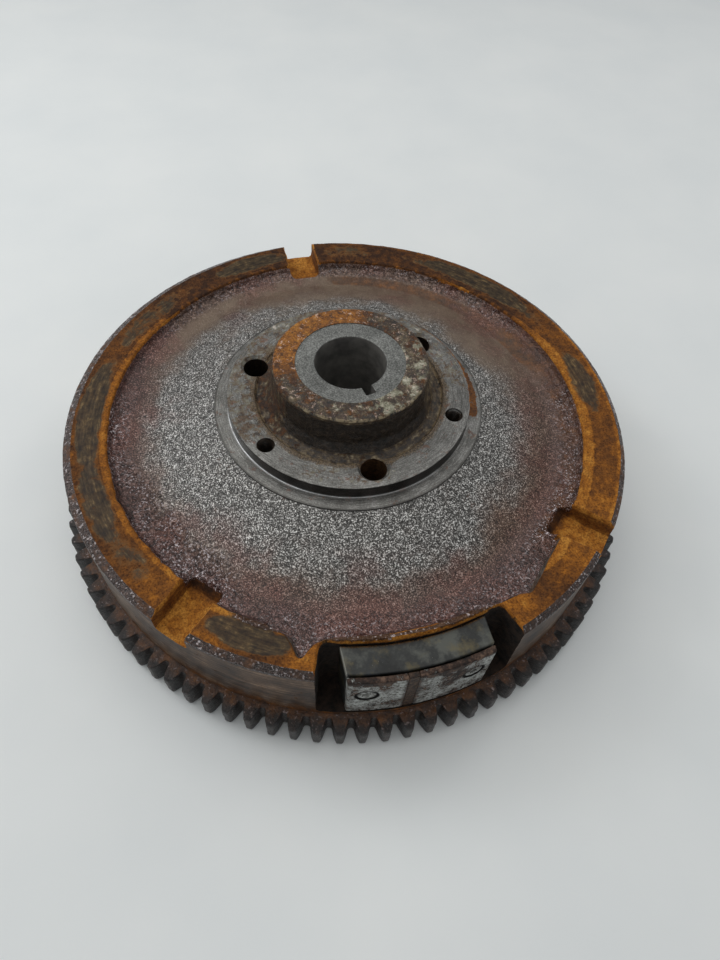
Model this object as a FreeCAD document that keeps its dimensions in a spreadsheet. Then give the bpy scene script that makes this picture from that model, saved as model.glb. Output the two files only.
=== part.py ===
"""Flywheel of a small electric-start engine: a parametric FreeCAD document, in millimetres.

Frame: the origin is on the crank axis in the plane that the wheel stands on, +Z points from the
engine side to the fan side, and the ignition magnet sits at -Y.
Profiles are drawn with the radius along x and the height along y, and turned about the crank axis.
"""
import FreeCAD, Part
import Sketcher
import math
import os

DIMENSIONS = {
    # rim, seen in section
    "rim_radius": 109.5,
    "rim_height": 46.0,
    "rim_bevel_radius": 107.4,
    "rim_bevel_height": 44.6,
    "land_inner_radius": 93.7,
    "web_outer_radius": 91.8,
    "web_outer_height": 42.2,
    "web_low_radius": 82.0,
    "web_low_height": 41.2,
    "gear_seat_radius": 104.0,
    "gear_shoulder_height": 12.7,
    # spot face, fan spigot and hub, seen in section
    "spot_face_radius": 51.9,
    "spot_face_height": 53.1,
    "web_inner_height": 52.4,
    "spigot_radius": 46.5,
    "spigot_height": 58.4,
    "spigot_face_radius": 36.2,
    "trough_radius": 35.3,
    "trough_height": 57.0,
    "hub_root_radius": 31.8,
    "hub_root_height": 57.8,
    "hub_waist_radius": 29.6,
    "hub_waist_height": 62.0,
    "hub_radius": 28.9,
    "hub_shoulder_height": 72.6,
    "hub_top_radius": 28.1,
    "hub_height": 73.4,
    "washer_radius": 20.4,
    "washer_height": 73.0,
    "bore_radius": 13.25,
    # engine side, seen in section
    "hub_foot_height": 6.0,
    "hub_foot_radius": 23.5,
    "hub_neck_radius": 26.0,
    "hub_neck_height": 38.5,
    "web_under_radius": 30.5,
    "web_under_height": 41.5,
    "cavity_corner_radius": 87.0,
    "cavity_corner_height": 31.0,
    "cavity_radius": 90.5,
    "cavity_height": 27.5,
    "retainer_step_radius": 99.0,
    "retainer_step_height": 5.0,
    # keyway
    "keyway_angle": -78.0,
    "keyway_half_width": 2.0,
    "keyway_depth_radius": 17.4,
    # notches across the rim's top face
    "notch_half_width": 6.8,
    "notch_inner": 88.0,
    "notch_depth": 8.5,
    "notch_right_angle": -45.0,
    "notch_left_angle": -135.0,
    "notch_back_angle": 90.0,
    # holes through the web
    "large_hole_circle_radius": 38.3,
    "large_hole_radius": 4.8,
    "large_hole_angle": -90.0,
    "fan_hole_circle_radius": 41.1,
    "fan_hole_radius": 2.6,
    "fan_hole_angle": -30.0,
    # recess for the ignition magnet and the low ground on each side of it
    "magnet_angle": -90.0,
    "recess_span": 37.0,
    "recess_inner_radius": 96.9,
    "recess_floor_height": 14.5,
    "recess_corner_radius": 3.2,
    "cutter_radius": 125.0,
    "cutter_height": 60.0,
    "relief_depth": 4.2,
    "left_relief_angle": -111.0,
    "left_relief_inner": 90.0,
    "left_relief_shoulder": 97.0,
    "left_relief_tip": 103.6,
    "left_relief_wide_side": 13.0,
    "left_relief_steep_side": 4.2,
    "right_relief_angle": -58.0,
    "right_relief_inner": 90.0,
    "right_relief_shoulder": 96.0,
    "right_relief_tip": 99.0,
    "right_relief_tip_side": 11.5,
    "right_relief_waist": 93.1,
    "right_relief_near_side": 14.5,
    "right_relief_far_side": 16.4,
    # starter ring gear
    "gear_base_height": 1.0,
    "gear_inner_radius": 104.02,
    "gear_tip_radius": 116.84,
    "gear_root_radius": 111.1,
    "gear_tip_chamfer": 0.8,
    "gear_teeth": 90.0,
    "gap_root_half_width": 0.95,
    "gap_mouth_radius": 118.0,
    "gap_mouth_half_width": 3.35,
    # ignition magnet and its pole shoes
    "magnet_span": 36.0,
    "magnet_half_width": 24.8,
    "magnet_inner_radius": 97.0,
    "magnet_outer_radius": 106.8,
    "magnet_base_height": 14.6,
    "magnet_height": 43.2,
    "shoe_inner_radius": 107.3,
    "shoe_outer_radius": 109.4,
    "shoe_base_height": 15.6,
    "shoe_height": 42.8,
    "spacer_centre": -3.6,
    "spacer_half_width": 1.8,
    # screws through the pole shoes
    "pole_screw_angle_left": -99.7,
    "pole_screw_angle_right": -80.3,
    "pole_screw_height": 31.0,
    "pole_screw_radius": 2.0,
    "pole_screw_clearance": 2.06,
    "pole_screw_end": 92.0,
    "pole_head_base": 106.9,
    "pole_head_face": 108.6,
    "pole_head_radius": 3.7,
    "pole_sink_radius": 4.0,
    "hex_socket_radius": 1.4,
    "hex_socket_floor": 106.6,
    # charging magnets of the alternator
    "charging_count": 10.0,
    "charging_span": 31.0,
    "charging_inner_radius": 83.0,
    "charging_outer_radius": 90.3,
    "charging_base_height": 5.4,
    "charging_height": 26.0,
    # retaining ring and its screws
    "retainer_inner_radius": 81.2,
    "retainer_sleeve_radius": 82.8,
    "retainer_flange_radius": 98.6,
    "retainer_base_height": 3.4,
    "retainer_flange_height": 4.9,
    "retainer_height": 26.4,
    "retainer_screw_count": 6.0,
    "retainer_screw_circle": 94.6,
    "retainer_screw_radius": 2.0,
    "retainer_screw_clearance": 2.06,
    "retainer_screw_end": 14.0,
    "retainer_head_base": 1.2,
    "retainer_head_radius": 3.6,
    "retainer_socket_radius": 1.5,
    "retainer_socket_depth": 1.3,
}


def make_sheet(doc):
    """Store every driving dimension as a plain number with an alias."""
    sheet = doc.addObject("Spreadsheet::Sheet", "Dimensions")
    for row, (alias, value) in enumerate(DIMENSIONS.items(), start=1):
        sheet.set(f"A{row}", alias)
        sheet.set(f"B{row}", str(value))
        sheet.setAlias(f"B{row}", alias)
    doc.recompute()
    return sheet


def amount(formula):
    """Value of a sum of dimension names, such as "rim_height - notch_depth"."""
    total, sign = 0.0, 1.0
    for word in formula.split():
        if word in "+-":
            sign = -1.0 if word == "-" else 1.0
        else:
            total += sign * DIMENSIONS[word]
            sign = 1.0
    return total


def bound(formula):
    """The same sum as an expression that reads the spreadsheet."""
    return " ".join(word if word in "+-" else f"Dimensions.{word}" for word in formula.split())


def make_body(doc, label):
    body = doc.addObject("PartDesign::Body", label)
    body.Label = label
    body.Placement = FreeCAD.Placement()
    return body


def origin_feature(body, role):
    return next(item for item in body.Origin.OriginFeatures if item.Role == role)


def make_sketch(body, name, role):
    sketch = body.newObject("Sketcher::SketchObject", name)
    sketch.AttachmentSupport = [(origin_feature(body, role), "")]
    sketch.MapMode = "FlatFace"
    return sketch


def turn_sketch(sketch, axis, angle):
    """Turn an attached sketch about the crank axis by a named angle."""
    sketch.AttachmentOffset = FreeCAD.Placement(FreeCAD.Vector(), FreeCAD.Rotation(axis, amount(angle)))
    sketch.setExpression("AttachmentOffset.Rotation.Angle", bound(angle))


def lift_sketch(sketch, height):
    sketch.setExpression("AttachmentOffset.Base.z", bound(height))


def pin_coordinate(sketch, vertex, kind, formula):
    """Hold one coordinate of a vertex at a named size, or on the axis where the formula is empty."""
    if not formula:
        axis = -2 if kind == "DistanceX" else -1
        sketch.addConstraint(Sketcher.Constraint("PointOnObject", vertex[0], vertex[1], axis))
        return
    index = sketch.addConstraint(
        Sketcher.Constraint(kind, -1, 1, vertex[0], vertex[1], amount(formula))
    )
    name = f"{kind}{index}"
    sketch.renameConstraint(index, name)
    sketch.setExpression(f"Constraints.{name}", bound(formula))


def draw_outline(sketch, points):
    """Closed outline of straight lines through points given as pairs of formulas."""
    corners = [FreeCAD.Vector(amount(x), amount(y), 0) for x, y in points]
    count = len(corners)
    for index, corner in enumerate(corners):
        sketch.addGeometry(Part.LineSegment(corner, corners[(index + 1) % count]), False)
    for index in range(count):
        following = (index + 1) % count
        sketch.addConstraint(Sketcher.Constraint("Coincident", index, 2, following, 1))
    for index, (x, y) in enumerate(points):
        pin_coordinate(sketch, (index, 1), "DistanceX", x)
        pin_coordinate(sketch, (index, 1), "DistanceY", y)


def draw_circle(sketch, x, y, radius):
    centre = FreeCAD.Vector(amount(x), amount(y), 0)
    circle = sketch.addGeometry(Part.Circle(centre, FreeCAD.Vector(0, 0, 1), amount(radius)), False)
    pin_coordinate(sketch, (circle, 3), "DistanceX", x)
    pin_coordinate(sketch, (circle, 3), "DistanceY", y)
    index = sketch.addConstraint(Sketcher.Constraint("Radius", circle, amount(radius)))
    sketch.renameConstraint(index, "radius")
    sketch.setExpression("Constraints.radius", bound(radius))


def draw_turning_axis(sketch, height):
    """Construction line parallel to the radius, about which a radial pin or hole is turned."""
    start = FreeCAD.Vector(amount("web_outer_radius"), amount(height), 0)
    end = FreeCAD.Vector(amount("rim_radius"), amount(height), 0)
    line = sketch.addGeometry(Part.LineSegment(start, end), True)
    sketch.addConstraint(Sketcher.Constraint("Horizontal", line))
    pin_coordinate(sketch, (line, 1), "DistanceX", "web_outer_radius")
    pin_coordinate(sketch, (line, 1), "DistanceY", height)
    pin_coordinate(sketch, (line, 2), "DistanceX", "rim_radius")


def profile_sketch(body, name, points, angle=""):
    """Section through the crank axis, turned to a named angle."""
    sketch = make_sketch(body, name, "XZ_Plane")
    draw_outline(sketch, points)
    if angle:
        turn_sketch(sketch, FreeCAD.Vector(0, 1, 0), angle)
    return sketch


def turn_profile(body, sketch, kind, name, span=""):
    """Revolution or groove of a section about the crank axis, whole or over a named span."""
    feature = body.newObject(f"PartDesign::{kind}", name)
    feature.Profile = sketch
    feature.ReferenceAxis = (origin_feature(body, "Z_Axis"), [""])
    feature.Angle = 360.0
    if span:
        feature.Midplane = True
        feature.setExpression("Angle", bound(span))
    return feature


def turn_radial(body, name, kind, points, angle, height):
    """Revolution or groove about a radial line at a named height."""
    sketch = profile_sketch(body, f"{name}_profile", points, angle)
    draw_turning_axis(sketch, height)
    feature = body.newObject(f"PartDesign::{kind}", name)
    feature.Profile = sketch
    feature.ReferenceAxis = (sketch, ["Axis0"])
    feature.Angle = 360.0
    return feature


def cut_down(body, sketch, name, depth=""):
    """Pocket that cuts towards the engine side, or right through both ways with no depth."""
    pocket = body.newObject("PartDesign::Pocket", name)
    pocket.Profile = sketch
    if depth:
        pocket.Type = 0
        pocket.setExpression("Length", bound(depth))
    else:
        pocket.Type = 1
        pocket.Midplane = True
    return pocket


def cut_outline(body, name, points, angle, height="", depth=""):
    """Pocket of a straight-sided outline drawn square to the crank axis."""
    sketch = make_sketch(body, f"{name}_outline", "XY_Plane")
    draw_outline(sketch, points)
    turn_sketch(sketch, FreeCAD.Vector(0, 0, 1), angle)
    if height:
        lift_sketch(sketch, height)
    return cut_down(body, sketch, name, depth)


def repeat_round(doc, body, feature, name, count):
    pattern = body.newObject("PartDesign::PolarPattern", name)
    pattern.Originals = [feature]
    pattern.Axis = (origin_feature(body, "Z_Axis"), [""])
    pattern.Angle = 360.0
    pattern.Occurrences = count
    body.Tip = pattern
    doc.recompute()
    return pattern


def volume_after(doc, body, before, what):
    """Recompute, and stop if the last cut has removed nothing."""
    doc.recompute()
    volume = body.Shape.Volume
    if volume > before - 1.0:
        raise RuntimeError(f"{what} cut nothing")
    return volume


def casting_section():
    """Half section of the casting, anticlockwise from the foot of the bore."""
    return [
        ("bore_radius", "hub_foot_height"),
        ("hub_foot_radius", "hub_foot_height"),
        ("hub_neck_radius", "hub_neck_height"),
        ("web_under_radius", "web_under_height"),
        ("cavity_corner_radius", "cavity_corner_height"),
        ("cavity_radius", "cavity_height"),
        ("cavity_radius", "retainer_step_height"),
        ("retainer_step_radius", "retainer_step_height"),
        ("retainer_step_radius", ""),
        ("gear_seat_radius", ""),
        ("gear_seat_radius", "gear_shoulder_height"),
        ("rim_radius", "gear_shoulder_height"),
        ("rim_radius", "rim_bevel_height"),
        ("rim_bevel_radius", "rim_height"),
        ("land_inner_radius", "rim_height"),
        ("web_outer_radius", "web_outer_height"),
        ("web_low_radius", "web_low_height"),
        ("spot_face_radius", "web_inner_height"),
        ("spot_face_radius", "spot_face_height"),
        ("spigot_radius", "spot_face_height"),
        ("spigot_radius", "spigot_height"),
        ("spigot_face_radius", "spigot_height"),
        ("trough_radius", "trough_height"),
        ("hub_root_radius", "hub_root_height"),
        ("hub_waist_radius", "hub_waist_height"),
        ("hub_radius", "hub_shoulder_height"),
        ("hub_top_radius", "hub_height"),
        ("washer_radius", "hub_height"),
        ("washer_radius", "washer_height"),
        ("bore_radius", "washer_height"),
    ]


def add_rim_notches(doc, body, volume):
    """Three radial notches across the rim's machined top face."""
    outline = [
        ("notch_inner", "- notch_half_width"),
        ("cutter_radius", "- notch_half_width"),
        ("cutter_radius", "notch_half_width"),
        ("notch_inner", "notch_half_width"),
    ]
    for side in ("right", "left", "back"):
        name = f"notch_{side}"
        cut_outline(body, name, outline, f"notch_{side}_angle", "rim_height", "notch_depth")
        volume = volume_after(doc, body, volume, name)
    return volume


def add_magnet_recess(doc, body, volume):
    """Recess for the ignition magnet, open outwards, with the low ground on each side of it."""
    section = [
        ("recess_inner_radius", "recess_floor_height"),
        ("cutter_radius", "recess_floor_height"),
        ("cutter_radius", "cutter_height"),
        ("recess_inner_radius", "cutter_height"),
    ]
    sketch = profile_sketch(body, "recess_section", section, "magnet_angle")
    turn_profile(body, sketch, "Groove", "magnet_recess", "recess_span")
    volume = volume_after(doc, body, volume, "magnet_recess")

    recess = body.Tip
    corners = upright_edges(recess.Shape, amount("recess_inner_radius"))
    fillet = body.newObject("PartDesign::Fillet", "recess_corners")
    fillet.Base = (recess, corners)
    fillet.setExpression("Radius", bound("recess_corner_radius"))
    body.Tip = fillet
    doc.recompute()
    volume = body.Shape.Volume

    left_ground = [
        ("left_relief_inner", "- left_relief_steep_side"),
        ("left_relief_shoulder", "- left_relief_steep_side"),
        ("left_relief_tip", ""),
        ("left_relief_inner", "left_relief_wide_side"),
    ]
    cut_outline(body, "left_relief", left_ground, "left_relief_angle", "rim_height", "relief_depth")
    volume = volume_after(doc, body, volume, "left_relief")
    right_ground = [
        ("right_relief_inner", "- right_relief_near_side"),
        ("right_relief_shoulder", "- right_relief_near_side"),
        ("right_relief_tip", "- right_relief_tip_side"),
        ("right_relief_waist", "right_relief_far_side"),
        ("right_relief_inner", "right_relief_far_side"),
    ]
    cut_outline(body, "right_relief", right_ground, "right_relief_angle", "rim_height", "relief_depth")
    return volume_after(doc, body, volume, "right_relief")


def upright_edges(shape, radius):
    """Names of the straight edges that stand parallel to the crank axis at one radius."""
    names = []
    for index, edge in enumerate(shape.Edges, start=1):
        ends = [vertex.Point for vertex in edge.Vertexes]
        if len(ends) != 2 or not isinstance(edge.Curve, Part.Line):
            continue
        upright = math.hypot(ends[0].x - ends[1].x, ends[0].y - ends[1].y) < 0.01
        if upright and all(abs(math.hypot(end.x, end.y) - radius) < 0.05 for end in ends):
            names.append(f"Edge{index}")
    return names


def add_web_holes(doc, body, volume):
    """Three large and three small holes, spaced evenly round the hub."""
    for kind in ("large", "fan"):
        sketch = make_sketch(body, f"{kind}_hole_circle", "XY_Plane")
        draw_circle(sketch, f"{kind}_hole_circle_radius", "", f"{kind}_hole_radius")
        turn_sketch(sketch, FreeCAD.Vector(0, 0, 1), f"{kind}_hole_angle")
        hole = cut_down(body, sketch, f"{kind}_hole")
        volume = volume_after(doc, body, volume, f"{kind}_hole")
        repeat_round(doc, body, hole, f"{kind}_holes", 3)
        volume = body.Shape.Volume
    return volume


def add_screw_holes(doc, body, volume):
    """Tapped holes for the pole screws, and those for the retaining ring's screws."""
    for side in ("left", "right"):
        name = f"pole_hole_{side}"
        cut_pole_hole(body, name, "cavity_radius", f"pole_screw_angle_{side}")
        volume = volume_after(doc, body, volume, name)
    section = [
        ("retainer_screw_circle", ""),
        ("retainer_screw_circle + retainer_screw_clearance", ""),
        ("retainer_screw_circle + retainer_screw_clearance", "retainer_screw_end"),
        ("retainer_screw_circle", "retainer_screw_end"),
    ]
    sketch = profile_sketch(body, "retainer_hole_section", section)
    hole = body.newObject("PartDesign::Groove", "retainer_hole")
    hole.Profile = sketch
    hole.ReferenceAxis = (sketch, ["Edge4"])
    hole.Angle = 360.0
    volume = volume_after(doc, body, volume, "retainer_hole")
    repeat_round(doc, body, hole, "retainer_holes", int(amount("retainer_screw_count")))
    return body.Shape.Volume


def cut_pole_hole(body, name, start, angle):
    """Round radial hole from a named radius outwards, for the shank of a pole screw."""
    section = [
        (start, "pole_screw_height"),
        ("cutter_radius", "pole_screw_height"),
        ("cutter_radius", "pole_screw_height + pole_screw_clearance"),
        (start, "pole_screw_height + pole_screw_clearance"),
    ]
    return turn_radial(body, name, "Groove", section, angle, "pole_screw_height")


def build_casting(doc):
    """Cast-iron wheel: rim, dished web, fan spigot and hub in one casting."""
    body = make_body(doc, "flywheel_casting")
    sketch = profile_sketch(body, "casting_section", casting_section())
    turn_profile(body, sketch, "Revolution", "casting_blank")
    doc.recompute()
    volume = body.Shape.Volume
    keyway = [
        ("", "- keyway_half_width"),
        ("keyway_depth_radius", "- keyway_half_width"),
        ("keyway_depth_radius", "keyway_half_width"),
        ("", "keyway_half_width"),
    ]
    cut_outline(body, "keyway", keyway, "keyway_angle")
    volume = volume_after(doc, body, volume, "keyway")
    volume = add_rim_notches(doc, body, volume)
    volume = add_magnet_recess(doc, body, volume)
    volume = add_web_holes(doc, body, volume)
    add_screw_holes(doc, body, volume)
    return body


def build_ring_gear(doc):
    """Starter ring gear, shrunk on its seat below the rim."""
    body = make_body(doc, "starter_ring_gear")
    section = [
        ("gear_inner_radius", "gear_base_height"),
        ("gear_tip_radius - gear_tip_chamfer", "gear_base_height"),
        ("gear_tip_radius", "gear_base_height + gear_tip_chamfer"),
        ("gear_tip_radius", "gear_shoulder_height - gear_tip_chamfer"),
        ("gear_tip_radius - gear_tip_chamfer", "gear_shoulder_height"),
        ("gear_inner_radius", "gear_shoulder_height"),
    ]
    sketch = profile_sketch(body, "gear_section", section)
    turn_profile(body, sketch, "Revolution", "gear_blank")
    doc.recompute()
    volume = body.Shape.Volume
    gap = [
        ("gear_root_radius", "- gap_root_half_width"),
        ("gap_mouth_radius", "- gap_mouth_half_width"),
        ("gap_mouth_radius", "gap_mouth_half_width"),
        ("gear_root_radius", "gap_root_half_width"),
    ]
    tooth_gap = cut_outline(body, "tooth_gap", gap, "magnet_angle")
    volume_after(doc, body, volume, "tooth_gap")
    repeat_round(doc, body, tooth_gap, "tooth_gaps", int(amount("gear_teeth")))
    return body


def trim_ends(doc, body, low, high):
    """Square off an arc-shaped block to the strip between two named distances from its middle."""
    volume = body.Shape.Volume
    for name, near, far in (("low_end", low, "- cutter_height"), ("high_end", high, "cutter_height")):
        strip = [("", near), ("cutter_radius", near), ("cutter_radius", far), ("", far)]
        cut_outline(body, f"{body.Name}_{name}", strip, "magnet_angle")
        volume = volume_after(doc, body, volume, f"{body.Label} {name}")


def build_arc_block(doc, label, radii, heights, span, angle):
    """Block with a rectangular section, curved round the crank axis."""
    body = make_body(doc, label)
    section = [
        (radii[0], heights[0]),
        (radii[1], heights[0]),
        (radii[1], heights[1]),
        (radii[0], heights[1]),
    ]
    sketch = profile_sketch(body, f"{label}_section", section, angle)
    turn_profile(body, sketch, "Revolution", f"{label}_arc", span)
    doc.recompute()
    return body


def build_ignition_magnet(doc):
    """Magnet block of the ignition, with holes for both pole screws."""
    radii = ("magnet_inner_radius", "magnet_outer_radius")
    heights = ("magnet_base_height", "magnet_height")
    body = build_arc_block(doc, "ignition_magnet", radii, heights, "magnet_span", "magnet_angle")
    trim_ends(doc, body, "- magnet_half_width", "magnet_half_width")
    for side in ("left", "right"):
        cut_pole_hole(body, f"magnet_hole_{side}", "cavity_radius", f"pole_screw_angle_{side}")
    doc.recompute()


def build_pole_shoe(doc, side, low, high):
    """Steel shoe on the magnet's outer face, countersunk for its screw."""
    radii = ("shoe_inner_radius", "shoe_outer_radius")
    heights = ("shoe_base_height", "shoe_height")
    label = f"pole_shoe_{side}"
    body = build_arc_block(doc, label, radii, heights, "magnet_span", "magnet_angle")
    trim_ends(doc, body, low, high)
    sink = [
        ("cavity_radius", "pole_screw_height"),
        ("cutter_radius", "pole_screw_height"),
        ("cutter_radius", "pole_screw_height + pole_sink_radius"),
        ("pole_head_face", "pole_screw_height + pole_sink_radius"),
        ("pole_head_base", "pole_screw_height + pole_screw_clearance"),
        ("cavity_radius", "pole_screw_height + pole_screw_clearance"),
    ]
    name = f"countersink_{side}"
    turn_radial(body, name, "Groove", sink, f"pole_screw_angle_{side}", "pole_screw_height")
    doc.recompute()


def build_pole_parts(doc):
    """Two pole shoes with a non-magnetic spacer between them, and their screws."""
    build_pole_shoe(doc, "left", "- magnet_half_width", "spacer_centre - spacer_half_width")
    build_pole_shoe(doc, "right", "spacer_centre + spacer_half_width", "magnet_half_width")
    radii = ("shoe_inner_radius", "shoe_outer_radius")
    heights = ("shoe_base_height", "shoe_height")
    body = build_arc_block(doc, "pole_spacer", radii, heights, "magnet_span", "magnet_angle")
    trim_ends(doc, body, "spacer_centre - spacer_half_width", "spacer_centre + spacer_half_width")
    for side in ("left", "right"):
        build_pole_screw(doc, side)


def build_pole_screw(doc, side):
    """Countersunk screw with a socket, lying along a radius."""
    body = make_body(doc, f"pole_screw_{side}")
    section = [
        ("pole_screw_end", "pole_screw_height"),
        ("hex_socket_floor", "pole_screw_height"),
        ("hex_socket_floor", "pole_screw_height + hex_socket_radius"),
        ("pole_head_face", "pole_screw_height + hex_socket_radius"),
        ("pole_head_face", "pole_screw_height + pole_head_radius"),
        ("pole_head_base", "pole_screw_height + pole_screw_radius"),
        ("pole_screw_end", "pole_screw_height + pole_screw_radius"),
    ]
    angle = f"pole_screw_angle_{side}"
    turn_radial(body, f"pole_screw_{side}_turned", "Revolution", section, angle, "pole_screw_height")
    doc.recompute()


def build_charging_magnets(doc):
    """Magnet segments of the alternator, inside the rim on the engine side."""
    radii = ("charging_inner_radius", "charging_outer_radius")
    heights = ("charging_base_height", "charging_height")
    count = int(amount("charging_count"))
    for index in range(count):
        label = f"charging_magnet_{index + 1:02d}"
        body = build_arc_block(doc, label, radii, heights, "charging_span", "magnet_angle")
        turn = 360.0 / count * index
        body.Placement = FreeCAD.Placement(
            FreeCAD.Vector(), FreeCAD.Rotation(FreeCAD.Vector(0, 0, 1), turn)
        )


def build_retainer(doc):
    """Pressed ring that holds the charging magnets, with a flange below the rim."""
    body = make_body(doc, "magnet_retainer")
    section = [
        ("retainer_inner_radius", "retainer_base_height"),
        ("retainer_flange_radius", "retainer_base_height"),
        ("retainer_flange_radius", "retainer_flange_height"),
        ("retainer_sleeve_radius", "retainer_flange_height"),
        ("retainer_sleeve_radius", "retainer_height"),
        ("retainer_inner_radius", "retainer_height"),
    ]
    sketch = profile_sketch(body, "retainer_section", section)
    turn_profile(body, sketch, "Revolution", "retainer_ring")
    doc.recompute()
    volume = body.Shape.Volume
    hole_sketch = make_sketch(body, "retainer_hole_outline", "XY_Plane")
    draw_circle(hole_sketch, "retainer_screw_circle", "", "retainer_screw_clearance")
    hole = cut_down(body, hole_sketch, "retainer_clearance_hole")
    volume_after(doc, body, volume, "retainer_clearance_hole")
    repeat_round(doc, body, hole, "retainer_clearance_holes", int(amount("retainer_screw_count")))


def build_retainer_screws(doc):
    """Socket-head screws that hold the retaining ring up against the rim."""
    count = int(amount("retainer_screw_count"))
    for index in range(count):
        body = make_body(doc, f"retainer_screw_{index + 1}")
        section = [
            ("retainer_screw_circle", "retainer_head_base + retainer_socket_depth"),
            ("retainer_screw_circle + retainer_socket_radius", "retainer_head_base + retainer_socket_depth"),
            ("retainer_screw_circle + retainer_socket_radius", "retainer_head_base"),
            ("retainer_screw_circle + retainer_head_radius", "retainer_head_base"),
            ("retainer_screw_circle + retainer_head_radius", "retainer_base_height"),
            ("retainer_screw_circle + retainer_screw_radius", "retainer_base_height"),
            ("retainer_screw_circle + retainer_screw_radius", "retainer_screw_end"),
            ("retainer_screw_circle", "retainer_screw_end"),
        ]
        sketch = profile_sketch(body, f"retainer_screw_section_{index + 1}", section)
        screw = body.newObject("PartDesign::Revolution", f"retainer_screw_turned_{index + 1}")
        screw.Profile = sketch
        screw.ReferenceAxis = (sketch, ["Edge8"])
        screw.Angle = 360.0
        turn = 360.0 / count * index
        body.Placement = FreeCAD.Placement(
            FreeCAD.Vector(), FreeCAD.Rotation(FreeCAD.Vector(0, 0, 1), turn)
        )
    doc.recompute()


def check_document(doc):
    """Stop on any failed feature, and on any sub-part without one valid solid."""
    for item in doc.Objects:
        if "Invalid" in item.State or "Error" in item.State:
            raise RuntimeError(f"{item.Name} has failed: {item.State}")
    bodies = [item for item in doc.Objects if item.TypeId == "PartDesign::Body"]
    for body in bodies:
        shape = body.Shape
        if shape.isNull() or not shape.isValid() or len(shape.Solids) != 1:
            raise RuntimeError(f"{body.Label} is not one valid solid")
    return bodies


def main():
    doc = FreeCAD.newDocument("flywheel")
    make_sheet(doc)
    build_casting(doc)
    build_ring_gear(doc)
    build_ignition_magnet(doc)
    build_pole_parts(doc)
    build_charging_magnets(doc)
    build_retainer(doc)
    build_retainer_screws(doc)
    doc.recompute()
    os.makedirs("parts", exist_ok=True)
    for body in check_document(doc):
        body.Shape.exportStep(os.path.join("parts", f"{body.Label}.step"))
        box = body.Shape.BoundBox
        print(f"{body.Label}: {body.Shape.Volume:.0f} mm3, z {box.ZMin:.2f} to {box.ZMax:.2f}")


main()
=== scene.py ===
"""Looks of a used flywheel from a small electric-start engine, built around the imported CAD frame.

The frame is in metres: the origin is on the crank axis in the plane that the wheel stands on, +Z points
to the fan side and the ignition magnet sits at -Y. Dimensions here are in millimetres until a mesh is
made, and angles are in degrees about the crank axis.
"""
import math

import bmesh
import bpy
import numpy as np
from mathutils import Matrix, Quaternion, Vector

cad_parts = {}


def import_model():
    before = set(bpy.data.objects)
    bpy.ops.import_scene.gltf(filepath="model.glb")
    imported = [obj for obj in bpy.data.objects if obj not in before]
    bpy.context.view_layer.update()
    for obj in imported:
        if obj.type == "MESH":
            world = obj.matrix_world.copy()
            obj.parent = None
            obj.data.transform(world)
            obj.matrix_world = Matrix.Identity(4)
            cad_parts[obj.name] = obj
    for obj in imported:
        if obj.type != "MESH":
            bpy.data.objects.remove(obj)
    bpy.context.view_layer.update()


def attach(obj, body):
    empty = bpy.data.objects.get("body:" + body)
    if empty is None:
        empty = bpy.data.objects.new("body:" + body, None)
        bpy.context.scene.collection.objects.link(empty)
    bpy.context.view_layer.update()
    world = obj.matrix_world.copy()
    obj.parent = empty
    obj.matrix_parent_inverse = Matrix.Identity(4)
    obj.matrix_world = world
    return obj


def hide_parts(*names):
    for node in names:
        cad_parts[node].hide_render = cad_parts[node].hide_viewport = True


MM = 0.001
SEED = 4107

# ---------------------------------------------------------------- dimensions, in millimetres
RIM_RADIUS = 109.5
RIM_HEIGHT = 46.0
BEVEL_RADIUS = 107.4
LAND_INNER = 93.7
WEB_OUTER = 91.8
SPOT_RADIUS = 51.9
SPIGOT_RADIUS = 46.5
SPIGOT_FACE = 36.2
SPIGOT_HEIGHT = 58.4
HUB_RADIUS = 28.9
HUB_HEIGHT = 73.4
WASHER_RADIUS = 20.4
BORE_RADIUS = 13.25
GEAR_TOP = 12.7
GEAR_BASE = 1.0
GEAR_SEAT = 104.02
GEAR_ROOT = 111.1
GEAR_TIP = 116.84
TEETH = 90
MAGNET_ANGLE = -90.0
MAGNET_HALF_WIDTH = 24.8
SHOE_INNER = 107.3
SHOE_BASE = 15.6
POLE_SCREW_ANGLES = {"left": -99.7, "right": -80.3}
POLE_SCREW_HEIGHT = 31.0
RECESS_INNER = 96.9
RECESS_REACH = 18.5
NOTCH_ANGLES = (-45.0, -135.0, 90.0)
NOTCH_FLOOR = 37.5
NOTCH_HALF_WIDTH = 6.8
PULLER_CIRCLE = 38.3
PULLER_ANGLES = (-90.0, 30.0, 150.0)
FAN_SCREW_CIRCLE = 41.1
FAN_SCREW_ANGLES = (-30.0, 90.0, 210.0)
RETAINER_CIRCLE = 94.6
RETAINER_ANGLES = [60.0 * index for index in range(6)]
RETAINER_HOLE = 2.06
KEYWAY_ANGLE = -78.0
CLEAR_BELOW = -5.0
CLEAR_ABOVE = 60.0

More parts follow.
